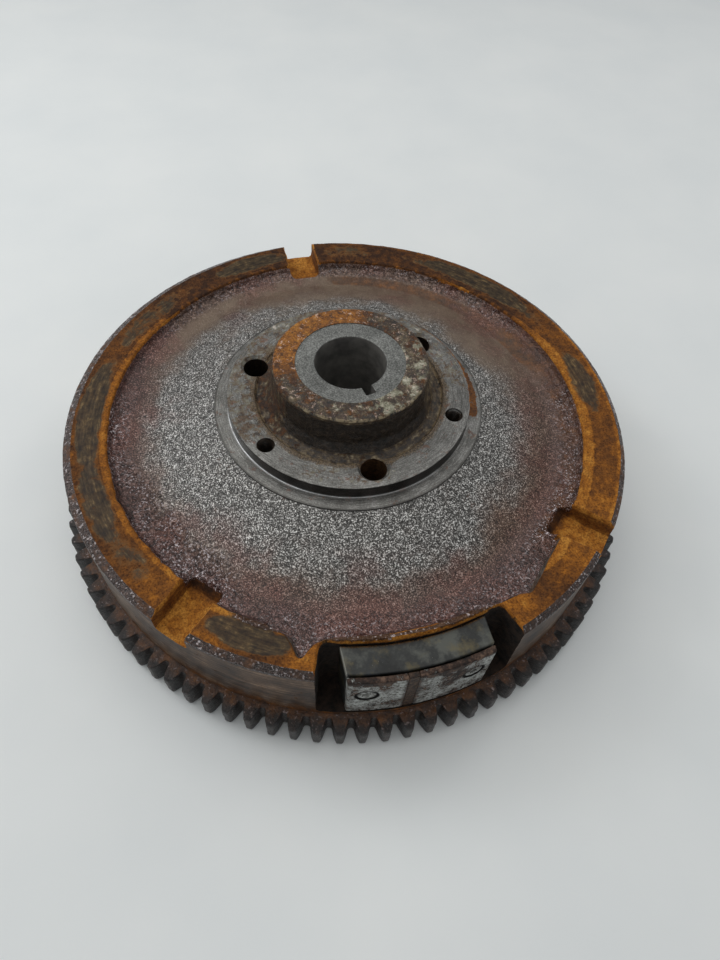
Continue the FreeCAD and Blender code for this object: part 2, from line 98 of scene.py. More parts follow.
# Half section of the casting, anticlockwise from the foot of the bore: radius, height, corner radius and
# the length of the mesh's steps on the run that follows.
CASTING_SECTION = [
    (BORE_RADIUS, 6.0, 0.6, 2.5),
    (23.5, 6.0, 1.0, 3.0),
    (26.0, 38.5, 3.0, 2.0),
    (30.5, 41.5, 2.0, 2.5),
    (87.0, 31.0, 1.5, 1.2),
    (90.5, 27.5, 1.0, 2.5),
    (90.5, 5.0, 0.4, 2.0),
    (99.0, 5.0, 0.3, 1.5),
    (99.0, 0.0, 0.5, 1.5),
    (104.0, 0.0, 0.4, 2.5),
    (104.0, GEAR_TOP, 0.2, 1.5),
    (RIM_RADIUS, GEAR_TOP, 0.3, 1.2),
    (RIM_RADIUS, 44.6, 0.7, 0.35),
    (BEVEL_RADIUS, RIM_HEIGHT, 0.6, 0.5),
    (LAND_INNER, RIM_HEIGHT, 0.9, 0.45),
    (WEB_OUTER, 42.4, 2.4, 0.5),
    (82.0, 41.2, 9.0, 0.8),
    (SPOT_RADIUS, 52.4, 0.0, 0.3),
    (SPOT_RADIUS, 53.1, 0.25, 0.6),
    (SPIGOT_RADIUS, 53.1, 0.35, 0.7),
    (SPIGOT_RADIUS, SPIGOT_HEIGHT, 0.35, 0.5),
    (SPIGOT_FACE, SPIGOT_HEIGHT, 0.4, 0.35),
    (35.3, 57.0, 0.8, 0.5),
    (31.8, 57.8, 2.4, 0.5),
    (29.6, 62.0, 3.0, 0.6),
    (HUB_RADIUS, 72.6, 0.2, 0.3),
    (28.1, HUB_HEIGHT, 0.25, 0.4),
    (WASHER_RADIUS, HUB_HEIGHT, 0.12, 0.2),
    (WASHER_RADIUS, 73.0, 0.1, 0.6),
    (BORE_RADIUS, 73.0, 0.5, 2.5),
]

# Worn patches of the land: strength, direction and half width in degrees, and share of the way across.
WORN_PATCHES = [
    (0.95, 170.0, 19.0, 0.50),
    (0.80, -166.0, 13.0, 0.52),
    (0.50, -150.0, 9.0, 0.50),
    (1.10, -121.5, 9.4, 0.50),
    (0.85, -2.0, 11.0, 0.46),
    (0.85, 40.0, 22.0, 0.55),
    (0.45, 78.0, 9.0, 0.50),
    (0.85, 104.0, 12.0, 0.50),
    (0.55, 136.0, 16.0, 0.50),
]


# ---------------------------------------------------------------- random fields
def smooth_field(points, size, seed):
    """Smooth random values from -1 to 1 at points, with humps about one size across."""
    cells = 32
    table = np.random.default_rng(SEED + seed).uniform(-1.0, 1.0, (cells, cells, cells))
    scaled = points / size
    base = np.floor(scaled).astype(int)
    part = scaled - base
    part = part * part * (3.0 - 2.0 * part)
    total = np.zeros(len(points))
    for corner in np.ndindex(2, 2, 2):
        step = np.array(corner)
        weight = np.prod(np.where(step, part, 1.0 - part), axis=1)
        index = (base + step) % cells
        total += weight * table[index[:, 0], index[:, 1], index[:, 2]]
    return total


def rough_field(points, size, seed, octaves=3):
    """Several smooth fields added up, each half as large and half as high as the last."""
    total = np.zeros(len(points))
    for octave in range(octaves):
        total += smooth_field(points, size / 2**octave, seed + octave) / 2**octave
    return total


def ease(value, low, high):
    """0 below low and 1 above high, with a smooth change between; low may be the larger."""
    part = np.clip((value - low) / (high - low), 0.0, 1.0)
    return part * part * (3.0 - 2.0 * part)


def around(angle, centre, half_width, soft):
    """1 within half_width degrees of a direction, fading to 0 over soft degrees more."""
    apart = np.abs((angle - centre + 180.0) % 360.0 - 180.0)
    return 1.0 - ease(apart, half_width, half_width + soft)


# ---------------------------------------------------------------- mesh making
def enrol(piece, slot, *nodes):
    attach(piece, "root")
    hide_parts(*nodes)


def mesh_piece(name, points, faces, slot, *nodes):
    """Piece of the wheel from points in millimetres, standing for some CAD nodes."""
    mesh = bpy.data.meshes.new(name)
    mesh.from_pydata((points * MM).tolist(), [], faces.tolist() if hasattr(faces, "tolist") else faces)
    mesh.validate()
    piece = bpy.data.objects.new(name, mesh)
    bpy.context.scene.collection.objects.link(piece)
    if slot:
        enrol(piece, slot, *nodes)
    return piece


def soften(piece, angle):
    """Smooth shading, with edges sharper than the angle kept crisp."""
    piece.data.shade_smooth()
    piece.data.set_sharp_from_angle(angle=math.radians(angle))


def read(items, name):
    """Coordinates stored on a mesh's points or faces, three to a row."""
    flat = np.empty(len(items) * 3)
    items.foreach_get(name, flat)
    return flat.reshape(-1, 3)


def points_of(mesh):
    return read(mesh.vertices, "co") / MM


def normals_of(mesh):
    return read(mesh.vertex_normals, "vector")


def move_points(mesh, points):
    mesh.vertices.foreach_set("co", (points * MM).astype(np.float32).ravel())
    mesh.update()


def lift(piece, skin):
    """Move the skin of a piece out along its normals, by a height in millimetres at each point."""
    mesh = piece.data
    move_points(mesh, points_of(mesh) + normals_of(mesh) * skin[:, None])


def polar(points):
    """Radius in millimetres and angle in degrees of each point about the crank axis."""
    radius = np.hypot(points[:, 0], points[:, 1])
    angle = np.degrees(np.arctan2(points[:, 1], points[:, 0]))
    return radius, angle


def paint(mesh, name, values):
    """Store one value at each vertex for the materials to read."""
    layer = mesh.attributes.new(name, "FLOAT", "POINT")
    layer.data.foreach_set("value", np.clip(values, 0.0, 1.0).astype(np.float32))


def round_corners(section, turns=4):
    """Closed outline with each corner turned into an arc and each run cut into steps."""
    corners = np.array([(radius, height) for radius, height, *_ in section])
    count = len(corners)
    outline = []
    for index in range(count):
        here = corners[index]
        before = corners[index - 1] - here
        after = corners[(index + 1) % count] - here
        reach_before, reach_after = np.linalg.norm(before), np.linalg.norm(after)
        before, after = before / reach_before, after / reach_after
        half = math.acos(np.clip(np.dot(before, after), -1.0, 1.0)) / 2.0
        cut = min(section[index][2] / math.tan(half), 0.45 * reach_before, 0.45 * reach_after)
        if cut < 0.02:
            outline.append((here, here, 1))
        else:
            outline.append((here + before * cut, here + after * cut, turns))
    line = []
    for index in range(count):
        start, end, arcs = outline[index]
        here = corners[index]
        for turn in range(arcs if arcs > 1 else 0):
            part = turn / arcs
            line.append((1 - part) ** 2 * start + 2 * part * (1 - part) * here + part**2 * end)
        target = outline[(index + 1) % count][0]
        steps = max(1, round(float(np.linalg.norm(target - end)) / section[index][3]))
        for step in range(steps):
            line.append(end + (target - end) * step / steps)
    return np.array(line)


def at(x, y, z):
    """Points from three coordinates, each of them a list or one number for all."""
    return np.stack(np.broadcast_arrays(x, y, z), axis=1)


def across_wheel(outline):
    """Points in plan from pairs of radius and angle."""
    radius, angle = np.array(outline).T
    angle = np.radians(angle)
    return np.stack([radius * np.cos(angle), radius * np.sin(angle)], axis=1)


def full_turn(columns):
    """Evenly spaced directions, in radians."""
    return np.arange(columns) * 2.0 * math.pi / columns


def ring_faces(rings, around_count, closed_rings):
    """Quads between rings of points; the rings join up again if closed_rings is true."""
    ring = np.arange(rings if closed_rings else rings - 1)[:, None]
    spot = np.arange(around_count)[None, :]
    following = (ring + 1) % rings
    beside = (spot + 1) % around_count
    quads = [ring * around_count + spot, following * around_count + spot]
    quads += [following * around_count + beside, ring * around_count + beside]
    return np.stack(np.broadcast_arrays(*quads), axis=-1).reshape(-1, 4)


def lathe(outline, columns):
    """Points and faces of a closed outline of radius and height turned about the crank axis."""
    turn = full_turn(columns)
    radius, height = outline[:, 0], outline[:, 1]
    grid = np.empty((columns, len(outline), 3))
    grid[:, :, 0] = np.cos(turn)[:, None] * radius
    grid[:, :, 1] = np.sin(turn)[:, None] * radius
    grid[:, :, 2] = height
    return grid.reshape(-1, 3), ring_faces(columns, len(outline), True)


def loft(rings):
    """Points and faces of a solid through rings of points, closed by a flat cap at each end."""
    count, size = rings.shape[:2]
    faces = ring_faces(count, size, False).tolist()
    faces.append(list(range(size)))
    faces.append(list(range(count * size - 1, (count - 1) * size - 1, -1)))
    return rings.reshape(-1, 3), faces


def turned(points, angle):
    """Points turned about the crank axis."""
    cosine, sine = math.cos(math.radians(angle)), math.sin(math.radians(angle))
    spun = points.copy()
    spun[..., 0] = points[..., 0] * cosine - points[..., 1] * sine
    spun[..., 1] = points[..., 0] * sine + points[..., 1] * cosine
    return spun


def join_solids(solids):
    """One set of points and faces from several."""
    points, faces, offset = [], [], 0
    for solid_points, solid_faces in solids:
        points.append(solid_points)
        faces += [[index + offset for index in face] for face in solid_faces]
        offset += len(solid_points)
    return np.concatenate(points), faces


# ---------------------------------------------------------------- shapes cut from the casting
def crumble(rings, axes, depth, size, seed, free=True):
    """Rings of points made lumpy along the first few axes, wherever free is true."""
    flat = rings.reshape(-1, 3)
    for axis in range(axes):
        shift = depth * rough_field(flat + 40.0 * axis, size, seed)
        flat[:, axis] += np.where(np.ravel(free), shift, 0.0)
    return rings


def notch_cutter(angle, seed):
    """Channel across the rim with rounded floor corners, a rounded inner end and a flared mouth."""
    half = NOTCH_HALF_WIDTH
    across = [(-half - 0.75, CLEAR_ABOVE), (-half - 0.75, 46.2), (-half - 0.1, 45.5)]
    across += [(-half, height) for height in (44.5, 43.5, 42.5, 41.5, 40.5, 39.5)]
    across += [(-half + 0.35, 38.2), (-half + 1.3, NOTCH_FLOOR)]
    across += [(spot, NOTCH_FLOOR) for spot in np.linspace(-half + 2.2, half - 2.2, 12)]
    across += [(-spot, height) for spot, height in across[10::-1]]
    side, height = np.array(across).T
    rings = []
    for radius in np.concatenate([[88.0, 88.1, 88.4, 88.9, 89.6, 90.4], np.arange(91.2, 126.0, 0.9)]):
        short = min(1.0, max(0.0, 91.2 - radius) / 3.2)
        pinch = 1.0 - 0.45 * (1.0 - math.sqrt(1.0 - short**2))
        rise = 0.85 * short * np.maximum(0.0, 42.8 - height)
        rings.append(at(radius, side * pinch, height + rise))
    rings = np.array(rings)
    free = (rings[..., 2] < 50.0) & (rings[..., 0] < 120.0)
    return loft(turned(crumble(rings, 3, 0.20, 3.6, seed, free), angle))


def recess_outline(grow):
    """Plan of the magnet recess, grown all round: inner wall, rounded corners and radial ends."""
    inner = RECESS_INNER - grow
    reach = RECESS_REACH + math.degrees(grow / 103.0)
    corner = 3.2 + grow
    bend = math.degrees(corner / inner)
    outline = [(126.0, -reach)]
    outline += [(radius, -reach) for radius in np.linspace(119.0, inner + corner, 18)]
    for part in np.linspace(0.15, 0.85, 5):
        quarter = part * math.pi / 2.0
        outline.append((inner + corner * (1 - math.sin(quarter)), -reach + bend * (1 - math.cos(quarter))))
    outline += [(inner, angle) for angle in np.linspace(-reach + bend, 0.0, 32)]
    outline += [(radius, -angle) for radius, angle in outline[-2::-1]]
    return across_wheel(outline)


def recess_cutter():
    """Recess for the ignition magnet, open outwards, with a filleted floor and a flared mouth."""
    levels = [(14.5, -1.4), (14.9, -0.5), (15.9, 0.0)]
    levels += [(height, 0.0) for height in np.arange(17.5, 45.0, 1.3)]
    levels += [(45.3, 0.05), (46.05, 0.7), (47.5, 0.75), (CLEAR_ABOVE, 0.75)]
    rings = np.array([at(*recess_outline(grow).T, height) for height, grow in levels])
    free = (rings[..., 2] < 50.0) & (np.hypot(rings[..., 0], rings[..., 1]) < 118.0)
    return loft(turned(crumble(rings, 2, 0.22, 3.0, 61, free), MAGNET_ANGLE))


def relief_cutter(outline, seed):
    """Shallow cast dip in the land that meets the web, with sloping, lumpy sides, from radii and angles."""
    corners = across_wheel(outline)
    dense = []
    for start, end in zip(corners, np.roll(corners, -1, axis=0)):
        steps = max(1, int(np.linalg.norm(end - start) / 0.8))
        dense += [start + (end - start) * step / steps for step in range(steps)]
    dense = np.array(dense)
    for _ in range(2):
        dense = (np.roll(dense, 1, axis=0) + 2.0 * dense + np.roll(dense, -1, axis=0)) / 4.0
    outward = dense - dense.mean(axis=0)
    outward /= np.linalg.norm(outward, axis=1)[:, None]
    levels = [(41.9, -1.0), (42.2, -0.2), (43.0, 0.2), (44.2, 0.6), (45.3, 1.0), (46.3, 1.7)]
    levels.append((CLEAR_ABOVE, 1.7))
    rings = np.array([at(*(dense + outward * grow).T, height) for height, grow in levels])
    return loft(crumble(rings, 2, 0.13, 4.5, seed))


def hole_cutter(circle, angle, levels, columns=48, pitch=0.0, depth=0.0):
    """Round hole parallel to the crank axis through levels of height and radius, with an optional thread."""
    turn = full_turn(columns)
    rings = []
    for height, reach in levels:
        if pitch and height < SPIGOT_HEIGHT - 0.6:
            wave = np.abs((height / pitch - turn / (2.0 * math.pi)) % 1.0 - 0.5) * 2.0
            reach = reach + depth * wave
        rings.append(at(circle + reach * np.cos(turn), -reach * np.sin(turn), height)[::-1])
    return loft(turned(np.array(rings)[::-1], angle))


def keyway_cutter():
    """Keyway cut down the whole bore."""
    half_width, depth = 2.0, 17.4
    plan = [(0.0, -half_width), (depth - 0.3, -half_width), (depth, -half_width + 0.3)]
    plan += [(depth, half_width - 0.3), (depth - 0.3, half_width), (0.0, half_width)]
    rings = [at(*np.array(plan).T, height) for height in (CLEAR_BELOW, 80.0)]
    return loft(turned(np.array(rings), KEYWAY_ANGLE))


def casting_cutters():
    """Two groups of solids to take away; no two in one group touch."""
    solids = [notch_cutter(angle, 20 + 5 * index) for index, angle in enumerate(NOTCH_ANGLES)]
    solids.append(recess_cutter())
    plain = [(CLEAR_BELOW, 4.8), (57.3, 4.8), (58.4, 5.9), (CLEAR_ABOVE, 5.9)]
    solids += [hole_cutter(PULLER_CIRCLE, angle, plain) for angle in PULLER_ANGLES]
    tapped = [(CLEAR_BELOW, 2.6)] + [(height, 2.45) for height in np.arange(30.0, 57.3, 0.16)]
    tapped += [(57.4, 2.65), (58.1, 3.35), (CLEAR_ABOVE, 3.35)]
    solids += [hole_cutter(FAN_SCREW_CIRCLE, angle, tapped, 36, 0.8, 0.32) for angle in FAN_SCREW_ANGLES]
    blind = [(CLEAR_BELOW, RETAINER_HOLE), (14.0, RETAINER_HOLE)]
    solids += [hole_cutter(RETAINER_CIRCLE, angle, blind, 24) for angle in RETAINER_ANGLES]
    solids.append(keyway_cutter())
    left = [(88.0, -121.0), (94.6, -119.0), (95.4, -115.2), (97.6, -113.5), (102.6, -111.8)]
    left += [(102.6, -111.2), (97.4, -109.8), (95.2, -107.6), (94.6, -102.0), (88.0, -101.0)]
    right = [(88.0, -79.0), (94.4, -77.0), (96.4, -71.0), (97.0, -66.8), (99.2, -64.9), (97.2, -61.2)]
    right += [(95.4, -56.5), (94.4, -50.0), (88.0, -50.0)]
    return join_solids(solids), join_solids([relief_cutter(left, 71), relief_cutter(right, 75)])


def face_outwards(points, faces, name):
    """Scratch object of a closed solid whose faces all point outwards."""
    piece = mesh_piece(name, points, faces, None)
    work = bmesh.new()
    work.from_mesh(piece.data)
    bmesh.ops.recalc_face_normals(work, faces=work.faces)
    work.to_mesh(piece.data)
    work.free()
    return piece


def cut_away(piece, points, faces):
    """Take a solid away from a piece for good."""
    cutter = face_outwards(points, faces, "cutter")
    modifier = piece.modifiers.new("cut", "BOOLEAN")
    modifier.operation = "DIFFERENCE"
    modifier.solver = "MANIFOLD"
    modifier.object = cutter
    view = bpy.context.evaluated_depsgraph_get()
    cut = bpy.data.meshes.new_from_object(piece.evaluated_get(view))
    piece.modifiers.clear()
    piece.data = cut
    bpy.data.objects.remove(cutter)


# ---------------------------------------------------------------- casting
def lumpy_share(radius, angle):
    """How lumpy and glossy the cast skin near the rim is in each direction."""
    left = around(angle, -162.0, 27.0, 14.0)
    start = 84.0 - 9.0 * around(angle, -150.0, 12.0, 18.0)
    share = 0.95 * left * ease(radius, start, start + 6.0)
    share += 0.55 * around(angle, -80.0, 34.0, 14.0) * ease(radius, 84.0, 90.0)
    share += 0.6 * around(angle, -28.0, 22.0, 12.0) * ease(radius, 82.0, 88.0)
    return share + 0.5 * around(angle, 80.0, 50.0, 12.0) * ease(radius, 87.0, 89.5)


def casting_roughness(points):
    """Height in millimetres that the cast and corroded skin stands out at each point."""
    radius, angle = polar(points)
    height = points[:, 2]
    top = height > 30.0
    web = ease(radius, SPOT_RADIUS + 0.3, 55.0) * ease(radius, 94.5, 92.5) * (height < 53.0) * top
    fillet = ease(radius, 86.0, 90.0) * ease(radius, 95.0, 93.0) * top
    land = ease(radius, 93.5, 95.0) * ease(radius, 107.0, 105.5) * (height > 45.5)
    bevel = ease(radius, 106.4, BEVEL_RADIUS) * (height > 43.5)
    crown = ease(radius, 20.3, 21.2) * ease(radius, 29.0, 28.0) * (height > 73.0)
    root = ease(radius, 36.6, 35.2) * ease(radius, 27.0, 28.5) * (height > 55.0) * (height < 73.0)
    under = ease(radius, 24.0, 27.0) * ease(radius, 91.0, 90.0) * (~top | (height < 41.0))
    lumpy = lumpy_share(radius, angle) * ease(radius, 95.5, 93.0) * top
    coarse = rough_field(points, 7.0, 1)
    middle = rough_field(points, 2.4, 7, 2)
    fine = rough_field(points, 1.1, 11, 2)
    skin = web * (0.10 * coarse + 0.09 * middle + 0.05 * fine)
    skin += fillet * (0.22 * coarse + 0.16 * middle)
    skin += lumpy * 0.24 * rough_field(points, 2.1, 13, 2)
    skin += land * (0.05 * coarse + 0.05 * middle + 0.05 * fine)
    skin += bevel * (0.06 * coarse + 0.07 * middle + 0.05 * fine)
    skin += crown * (0.04 * coarse - 0.16 * ease(middle, 0.0, 0.9) + 0.05 * fine)
    skin += root * (0.12 * coarse + 0.10 * middle)
    skin += under * 0.2 * middle
    return skin


def build_casting():
    """Cast-iron wheel with rim, dished web, fan spigot and hub."""
    outline = round_corners(CASTING_SECTION)
    points, faces = lathe(outline, 720)
    radius, angle = polar(points)
    lean = around(angle, 170.0, 20.0, 70.0)
    wide = 1.1 * lean + 0.2 * smooth_field(points * (1, 1, 0), 14.0, 3)
    band = ease(radius, 99.0, BEVEL_RADIUS) * ease(radius, RIM_RADIUS, BEVEL_RADIUS) * (points[:, 2] > 43.0)
    outward = 1.3 * around(angle, -92.0, 38.0, 8.0) * ease(radius, 84.0, 91.0) * ease(radius, 104.0, 96.0)
    outward *= points[:, 2] > 40.5
    points[:, :2] *= (1.0 + (outward - wide * band) / radius)[:, None]
    casting = mesh_piece("wheel_casting", points, faces, "casting", "flywheel_casting")
    lift(casting, casting_roughness(points_of(casting.data)))
    for cutter_points, cutter_faces in casting_cutters():
        cut_away(casting, cutter_points, cutter_faces)
    soften(casting, 42.0)
    return casting


def clearly(condition):
    return condition.astype(float)


def paint_casting(mesh):
    """Where rust, worn metal and film lie on the casting, by radius, height and direction."""
    points = points_of(mesh)
    radius, angle = polar(points)
    part = (radius - LAND_INNER) / (BEVEL_RADIUS - LAND_INNER)
    right = around(angle, -22.0, 32.0, 10.0)
    left = around(angle, 165.0, 25.0, 15.0)
    back = around(angle, 80.0, 50.0, 12.0)
    front = around(angle, -92.0, 38.0, 8.0)
    strip = 0.07 + 0.14 * right + 0.04 * left - 0.05 * back + 0.12 * front
    paint(mesh, "strip", (1.0 - ease(part, strip, strip + 0.12)) * (1.0 - 0.6 * back))
    outer_line = ease(part, 0.88, 0.94) * around(angle, 15.0, 60.0, 10.0)
    near_notch = around(angle, -45.0, 6.0, 8.0) + around(angle, -136.0, 8.0, 8.0)
    near_magnet = around(angle, -90.0, 22.0, 5.0)
    ground = 0.34 + 0.14 * right + 0.22 * near_notch + 0.40 * near_magnet - 0.26 * back + 0.3 * outer_line
    paint(mesh, "bright_rust", ground)
    worn = np.zeros(len(points))
    for strength, direction, half_width, level in WORN_PATCHES:
        turn = (angle - direction + 180.0) % 360.0 - 180.0
        away = np.hypot(turn / half_width, (part - level) / 0.40)
        worn = np.maximum(worn, strength * ease(away, 1.30, 0.50))
    paint(mesh, "worn", worn)
    start = 66.0 - 12.0 * around(angle, 60.0, 34.0, 26.0) - 10.0 * around(angle, -18.0, 30.0, 35.0)
    start -= 2.0 * around(angle, -130.0, 20.0, 30.0)
    paint(mesh, "film", 0.95 * ease(radius, start, start + 26.0))
    paint(mesh, "violet", 0.95 * ease(radius, 68.0, 94.0) * (1.0 - 0.45 * back))
    paint(mesh, "lumpy", lumpy_share(radius, angle))
    front_lip = around(angle, -92.0, 30.0, 8.0) * ease(radius, 97.6, 95.6)
    paint(mesh, "front_lip", front_lip * clearly(radius > 90.0))
    # Back of the web: painted plain tone, as its grain shows no sparkle from this side.
    paint(mesh, "glintless_back", around(angle, 75.0, 55.0, 30.0) * ease(radius, 90.0, 86.0))
    fringe = around(angle, 48.0, 30.0, 14.0) * ease(radius, 79.0, 84.0) * ease(radius, 90.0, 86.5)
    fringe += 0.72 * around(angle, -14.0, 32.0, 20.0) * ease(radius, 78.0, 88.0)
    paint(mesh, "fringe", fringe)


# ---------------------------------------------------------------- starter ring gear
def build_gear():
    """Starter ring gear: chamfered teeth with rounded roots, worn tips and a pitted skin."""
    pitch = 360.0 / TEETH
    flank = [(0.0, GEAR_ROOT), (0.55, GEAR_ROOT + 0.05), (0.95, GEAR_ROOT + 0.35), (1.18, GEAR_ROOT + 0.9)]
    flank += [(1.42, 112.9), (1.70, 113.9), (2.05, 114.9), (2.45, 115.8), (2.80, 116.45)]
    flank += [(3.05, 116.75), (3.5, GEAR_TIP)]
    half = [(math.degrees(offset / reach), reach) for offset, reach in flank] + [(pitch / 2.0, GEAR_TIP)]
    tooth = np.array(half + [(pitch - turn, reach) for turn, reach in half[-2:0:-1]])
    turn = (tooth[:, 0] + pitch * np.arange(TEETH)[:, None]).ravel() + MAGNET_ANGLE
    turn = np.radians(turn)
    reach = np.tile(tooth[:, 1], TEETH)
    chamfer = 0.35 + 0.9 * ease(reach - GEAR_ROOT, 1.0, 5.0)
    corner = [(0.75, 0.02), (0.45, 0.2), (0.15, 0.6), (0.0, 1.1)]
    face = reach - 0.7 - GEAR_SEAT
    grid = [(GEAR_SEAT, height) for height in (GEAR_BASE, 4.0, 7.0, 10.0, GEAR_TOP)]
    grid += [(GEAR_SEAT + face * share, GEAR_TOP) for share in (0.25, 0.5, 0.72, 0.85, 0.93)]
    grid += [(reach - share * 0.9, GEAR_TOP - fall * chamfer) for share, fall in corner]
    grid += [(reach, height) for height in (10.2, 8.4, 6.6, 4.8, 3.2)]
    grid += [(reach - share * 0.9, GEAR_BASE + fall * chamfer) for share, fall in corner[::-1]]
    grid += [(GEAR_SEAT + face * share, GEAR_BASE) for share in (0.9, 0.75, 0.5, 0.25)]
    points = [at(radius * np.cos(turn), radius * np.sin(turn), height) for radius, height in grid]
    points = np.stack(points, axis=1).reshape(-1, 3)
    faces = ring_faces(len(turn), len(grid), True)[:, ::-1]
    gear = mesh_piece("ring_gear", points, faces, "ring_gear", "starter_ring_gear")
    points = points_of(gear.data)
    skin = 0.10 * rough_field(points, 3.0, 31) + 0.05 * rough_field(points, 1.2, 35, 2)
    lift(gear, skin * ease(polar(points)[0], 108.0, 110.0))
    soften(gear, 38.0)
    return gear


# ---------------------------------------------------------------- blocks, bent round the axis
def knots(size, corner, step):
    """Positions along a side, close together where the corner is rounded."""
    inner = size / 2.0 - corner
    close = [corner * (1.0 - math.cos(math.radians(turn))) for turn in (0, 22, 45, 68)]
    count = max(2, int(2.0 * inner / step))
    start = [-size / 2.0 + value for value in close]
    return np.array(start + list(np.linspace(-inner, inner, count + 1)) + [-value for value in start[::-1]])


def rounded_block(sizes, corner, step):
    """Points and quads of a box with rounded edges, centred on the origin."""
    lines = [knots(size, corner, step) for size in sizes]
    half = np.array(sizes) / 2.0
    work = bmesh.new()
    for axis in range(3):
        first, second = [other for other in range(3) if other != axis]
        for side in (-1.0, 1.0):
            grid = {}
            for i, u in enumerate(lines[first]):
                for j, v in enumerate(lines[second]):
                    point = [0.0, 0.0, 0.0]
                    point[axis], point[first], point[second] = side * half[axis], u, v
                    grid[i, j] = work.verts.new(point)
            for i in range(len(lines[first]) - 1):
                for j in range(len(lines[second]) - 1):
                    work.faces.new((grid[i, j], grid[i + 1, j], grid[i + 1, j + 1], grid[i, j + 1]))
    bmesh.ops.remove_doubles(work, verts=work.verts, dist=1e-4)
    bmesh.ops.recalc_face_normals(work, faces=work.faces)
    points = np.array([vertex.co for vertex in work.verts])
    work.verts.index_update()
    faces = [[vertex.index for vertex in face.verts] for face in work.faces]
    work.free()
    core = np.clip(points, -(half - corner), half - corner)
    offset = points - core
    length = np.maximum(np.linalg.norm(offset, axis=1), 1e-9)[:, None]
    return core + offset / length * np.minimum(length, corner), faces


def bent_block(name, slot, node, radii, heights, sides, corner, step, radial_ends=False):
    """Rounded block curved round the axis at -Y, between two radii, two heights and two sides.

    The sides are distances from the middle, or angles where the ends are radial."""
    middle = (radii[0] + radii[1]) / 2.0
    scale = math.radians(middle) if radial_ends else 1.0
    sizes = ((sides[1] - sides[0]) * scale, radii[1] - radii[0], heights[1] - heights[0])
    points, faces = rounded_block(sizes, corner, step)
    across = points[:, 0] + (sides[0] + sides[1]) / 2.0 * scale
    radius = middle - points[:, 1]
    bent = np.empty_like(points)
    if radial_ends:
        turn = across / middle
        bent[:, 0], bent[:, 1] = radius * np.sin(turn), -radius * np.cos(turn)
    else:
        bent[:, 0], bent[:, 1] = across, -np.sqrt(radius**2 - across**2)
    bent[:, 2] = points[:, 2] + (heights[0] + heights[1]) / 2.0
    return mesh_piece(name, bent, faces, slot, node)


def wear_block(piece, amount, size, seed):
    lift(piece, amount * rough_field(points_of(piece.data), size, seed))
    soften(piece, 50.0)


def lying(points):
    """A screw's points raised to the middle of the pole shoes, still pointing along +X."""
    return points + (0.0, 0.0, POLE_SCREW_HEIGHT)


def countersink_cutter(angle):
    """Screw hole with a countersunk mouth, lying along a radius of the wheel."""
    turn = full_turn(72)
    levels = [(106.2, 2.15), (107.0, 2.15), (108.7, 3.95), (109.2, 4.05), (111.0, 4.1)]
    grid = [at(distance, radius * np.cos(turn), radius * np.sin(turn)) for distance, radius in levels]
    points, faces = loft(lying(np.array(grid)))
    return turned(points, angle), faces


def build_magnet():
    """Ignition magnet with its two pole shoes and the spacer between them."""
    block = bent_block(
        "magnet_block", "magnet_block", "ignition_magnet", (97.1, 106.8), (14.6, 43.2),
        (-MAGNET_HALF_WIDTH, MAGNET_HALF_WIDTH), 0.6, 1.2
    )
    wear_block(block, 0.05, 4.0, 41)
    shoes = []
    halves = [("left", (-MAGNET_HALF_WIDTH, -5.45), 43), ("right", (-1.75, MAGNET_HALF_WIDTH), 45)]
    for side, sides, seed in halves:
        shoe = bent_block(
            f"shoe_{side}", "pole_shoe", f"pole_shoe_{side}", (SHOE_INNER, 109.4),
            (SHOE_BASE, 42.8), sides, 0.45, 0.8
        )
        wear_block(shoe, 0.06, 2.4, seed)
        cut_away(shoe, *countersink_cutter(POLE_SCREW_ANGLES[side]))
        soften(shoe, 40.0)
        points = turned(points_of(shoe.data), -POLE_SCREW_ANGLES[side])
        away = np.hypot(points[:, 1], points[:, 2] - POLE_SCREW_HEIGHT)
        # Painted shade round the countersink, read by the shoe paint.
        paint(shoe.data, "screw_gap_shade", clearly(away < 4.3))
        shoes.append(shoe)
    spacer = bent_block(
        "shoe_spacer", "pole_spacer", "pole_spacer", (SHOE_INNER, 109.2),
        (SHOE_BASE, 42.6), (-5.38, -1.82), 0.3, 0.6
    )
    wear_block(spacer, 0.06, 1.8, 47)
    return block, shoes, spacer


# ---------------------------------------------------------------- screws
def hex_reach(turn, flats):
    """Distance from the axis to a hexagon's side in each direction."""
    return flats / np.cos((turn + math.pi / 6.0) % (math.pi / 3.0) - math.pi / 6.0)


def upright(points):
    """A screw's points stood up with the head down, on the retaining ring's circle."""
    return at(RETAINER_CIRCLE + points[:, 1], points[:, 2], -points[:, 0])


def socket_screw(name, node, levels, socket, place, angle):
    """Turned screw along +X from the origin with a hexagonal socket: levels of distance and radius."""
    turn = full_turn(72)
    mouth, depth = socket
    face = levels[-1][0]
    rings = levels + [(face, hex_reach(turn, mouth + 0.18)), (face - 0.18, hex_reach(turn, mouth))]
    rings += [(face - depth, hex_reach(turn, mouth)), (face - depth - 0.3, mouth * 0.35)]
    grid = [at(distance, reach * np.cos(turn), reach * np.sin(turn)) for distance, reach in rings]
    points, faces = loft(np.array(grid))
    screw = face_outwards(turned(place(points), angle), faces, name)
    # Outer part of the head, which the painted screws' finish darkens as shade of the gap round it.
    paint(screw.data, "screw_gap_shade", clearly(np.hypot(points[:, 1], points[:, 2]) > 3.0))
    enrol(screw, "screws", node)
    soften(screw, 35.0)
    return screw


def build_pole_screws():
    """Countersunk screws with hexagonal sockets, lying along radii in the pole shoes."""
    levels = [(92.0, 1.6), (92.4, 2.0), (106.9, 2.0), (108.5, 3.35), (108.95, 3.42), (109.14, 3.2)]
    levels += [(109.18, 2.7), (109.18, 2.2)]
    return [
        socket_screw(f"screw_pole_{side}", f"pole_screw_{side}", levels, (1.4, 1.6), lying, angle)
        for side, angle in POLE_SCREW_ANGLES.items()
    ]


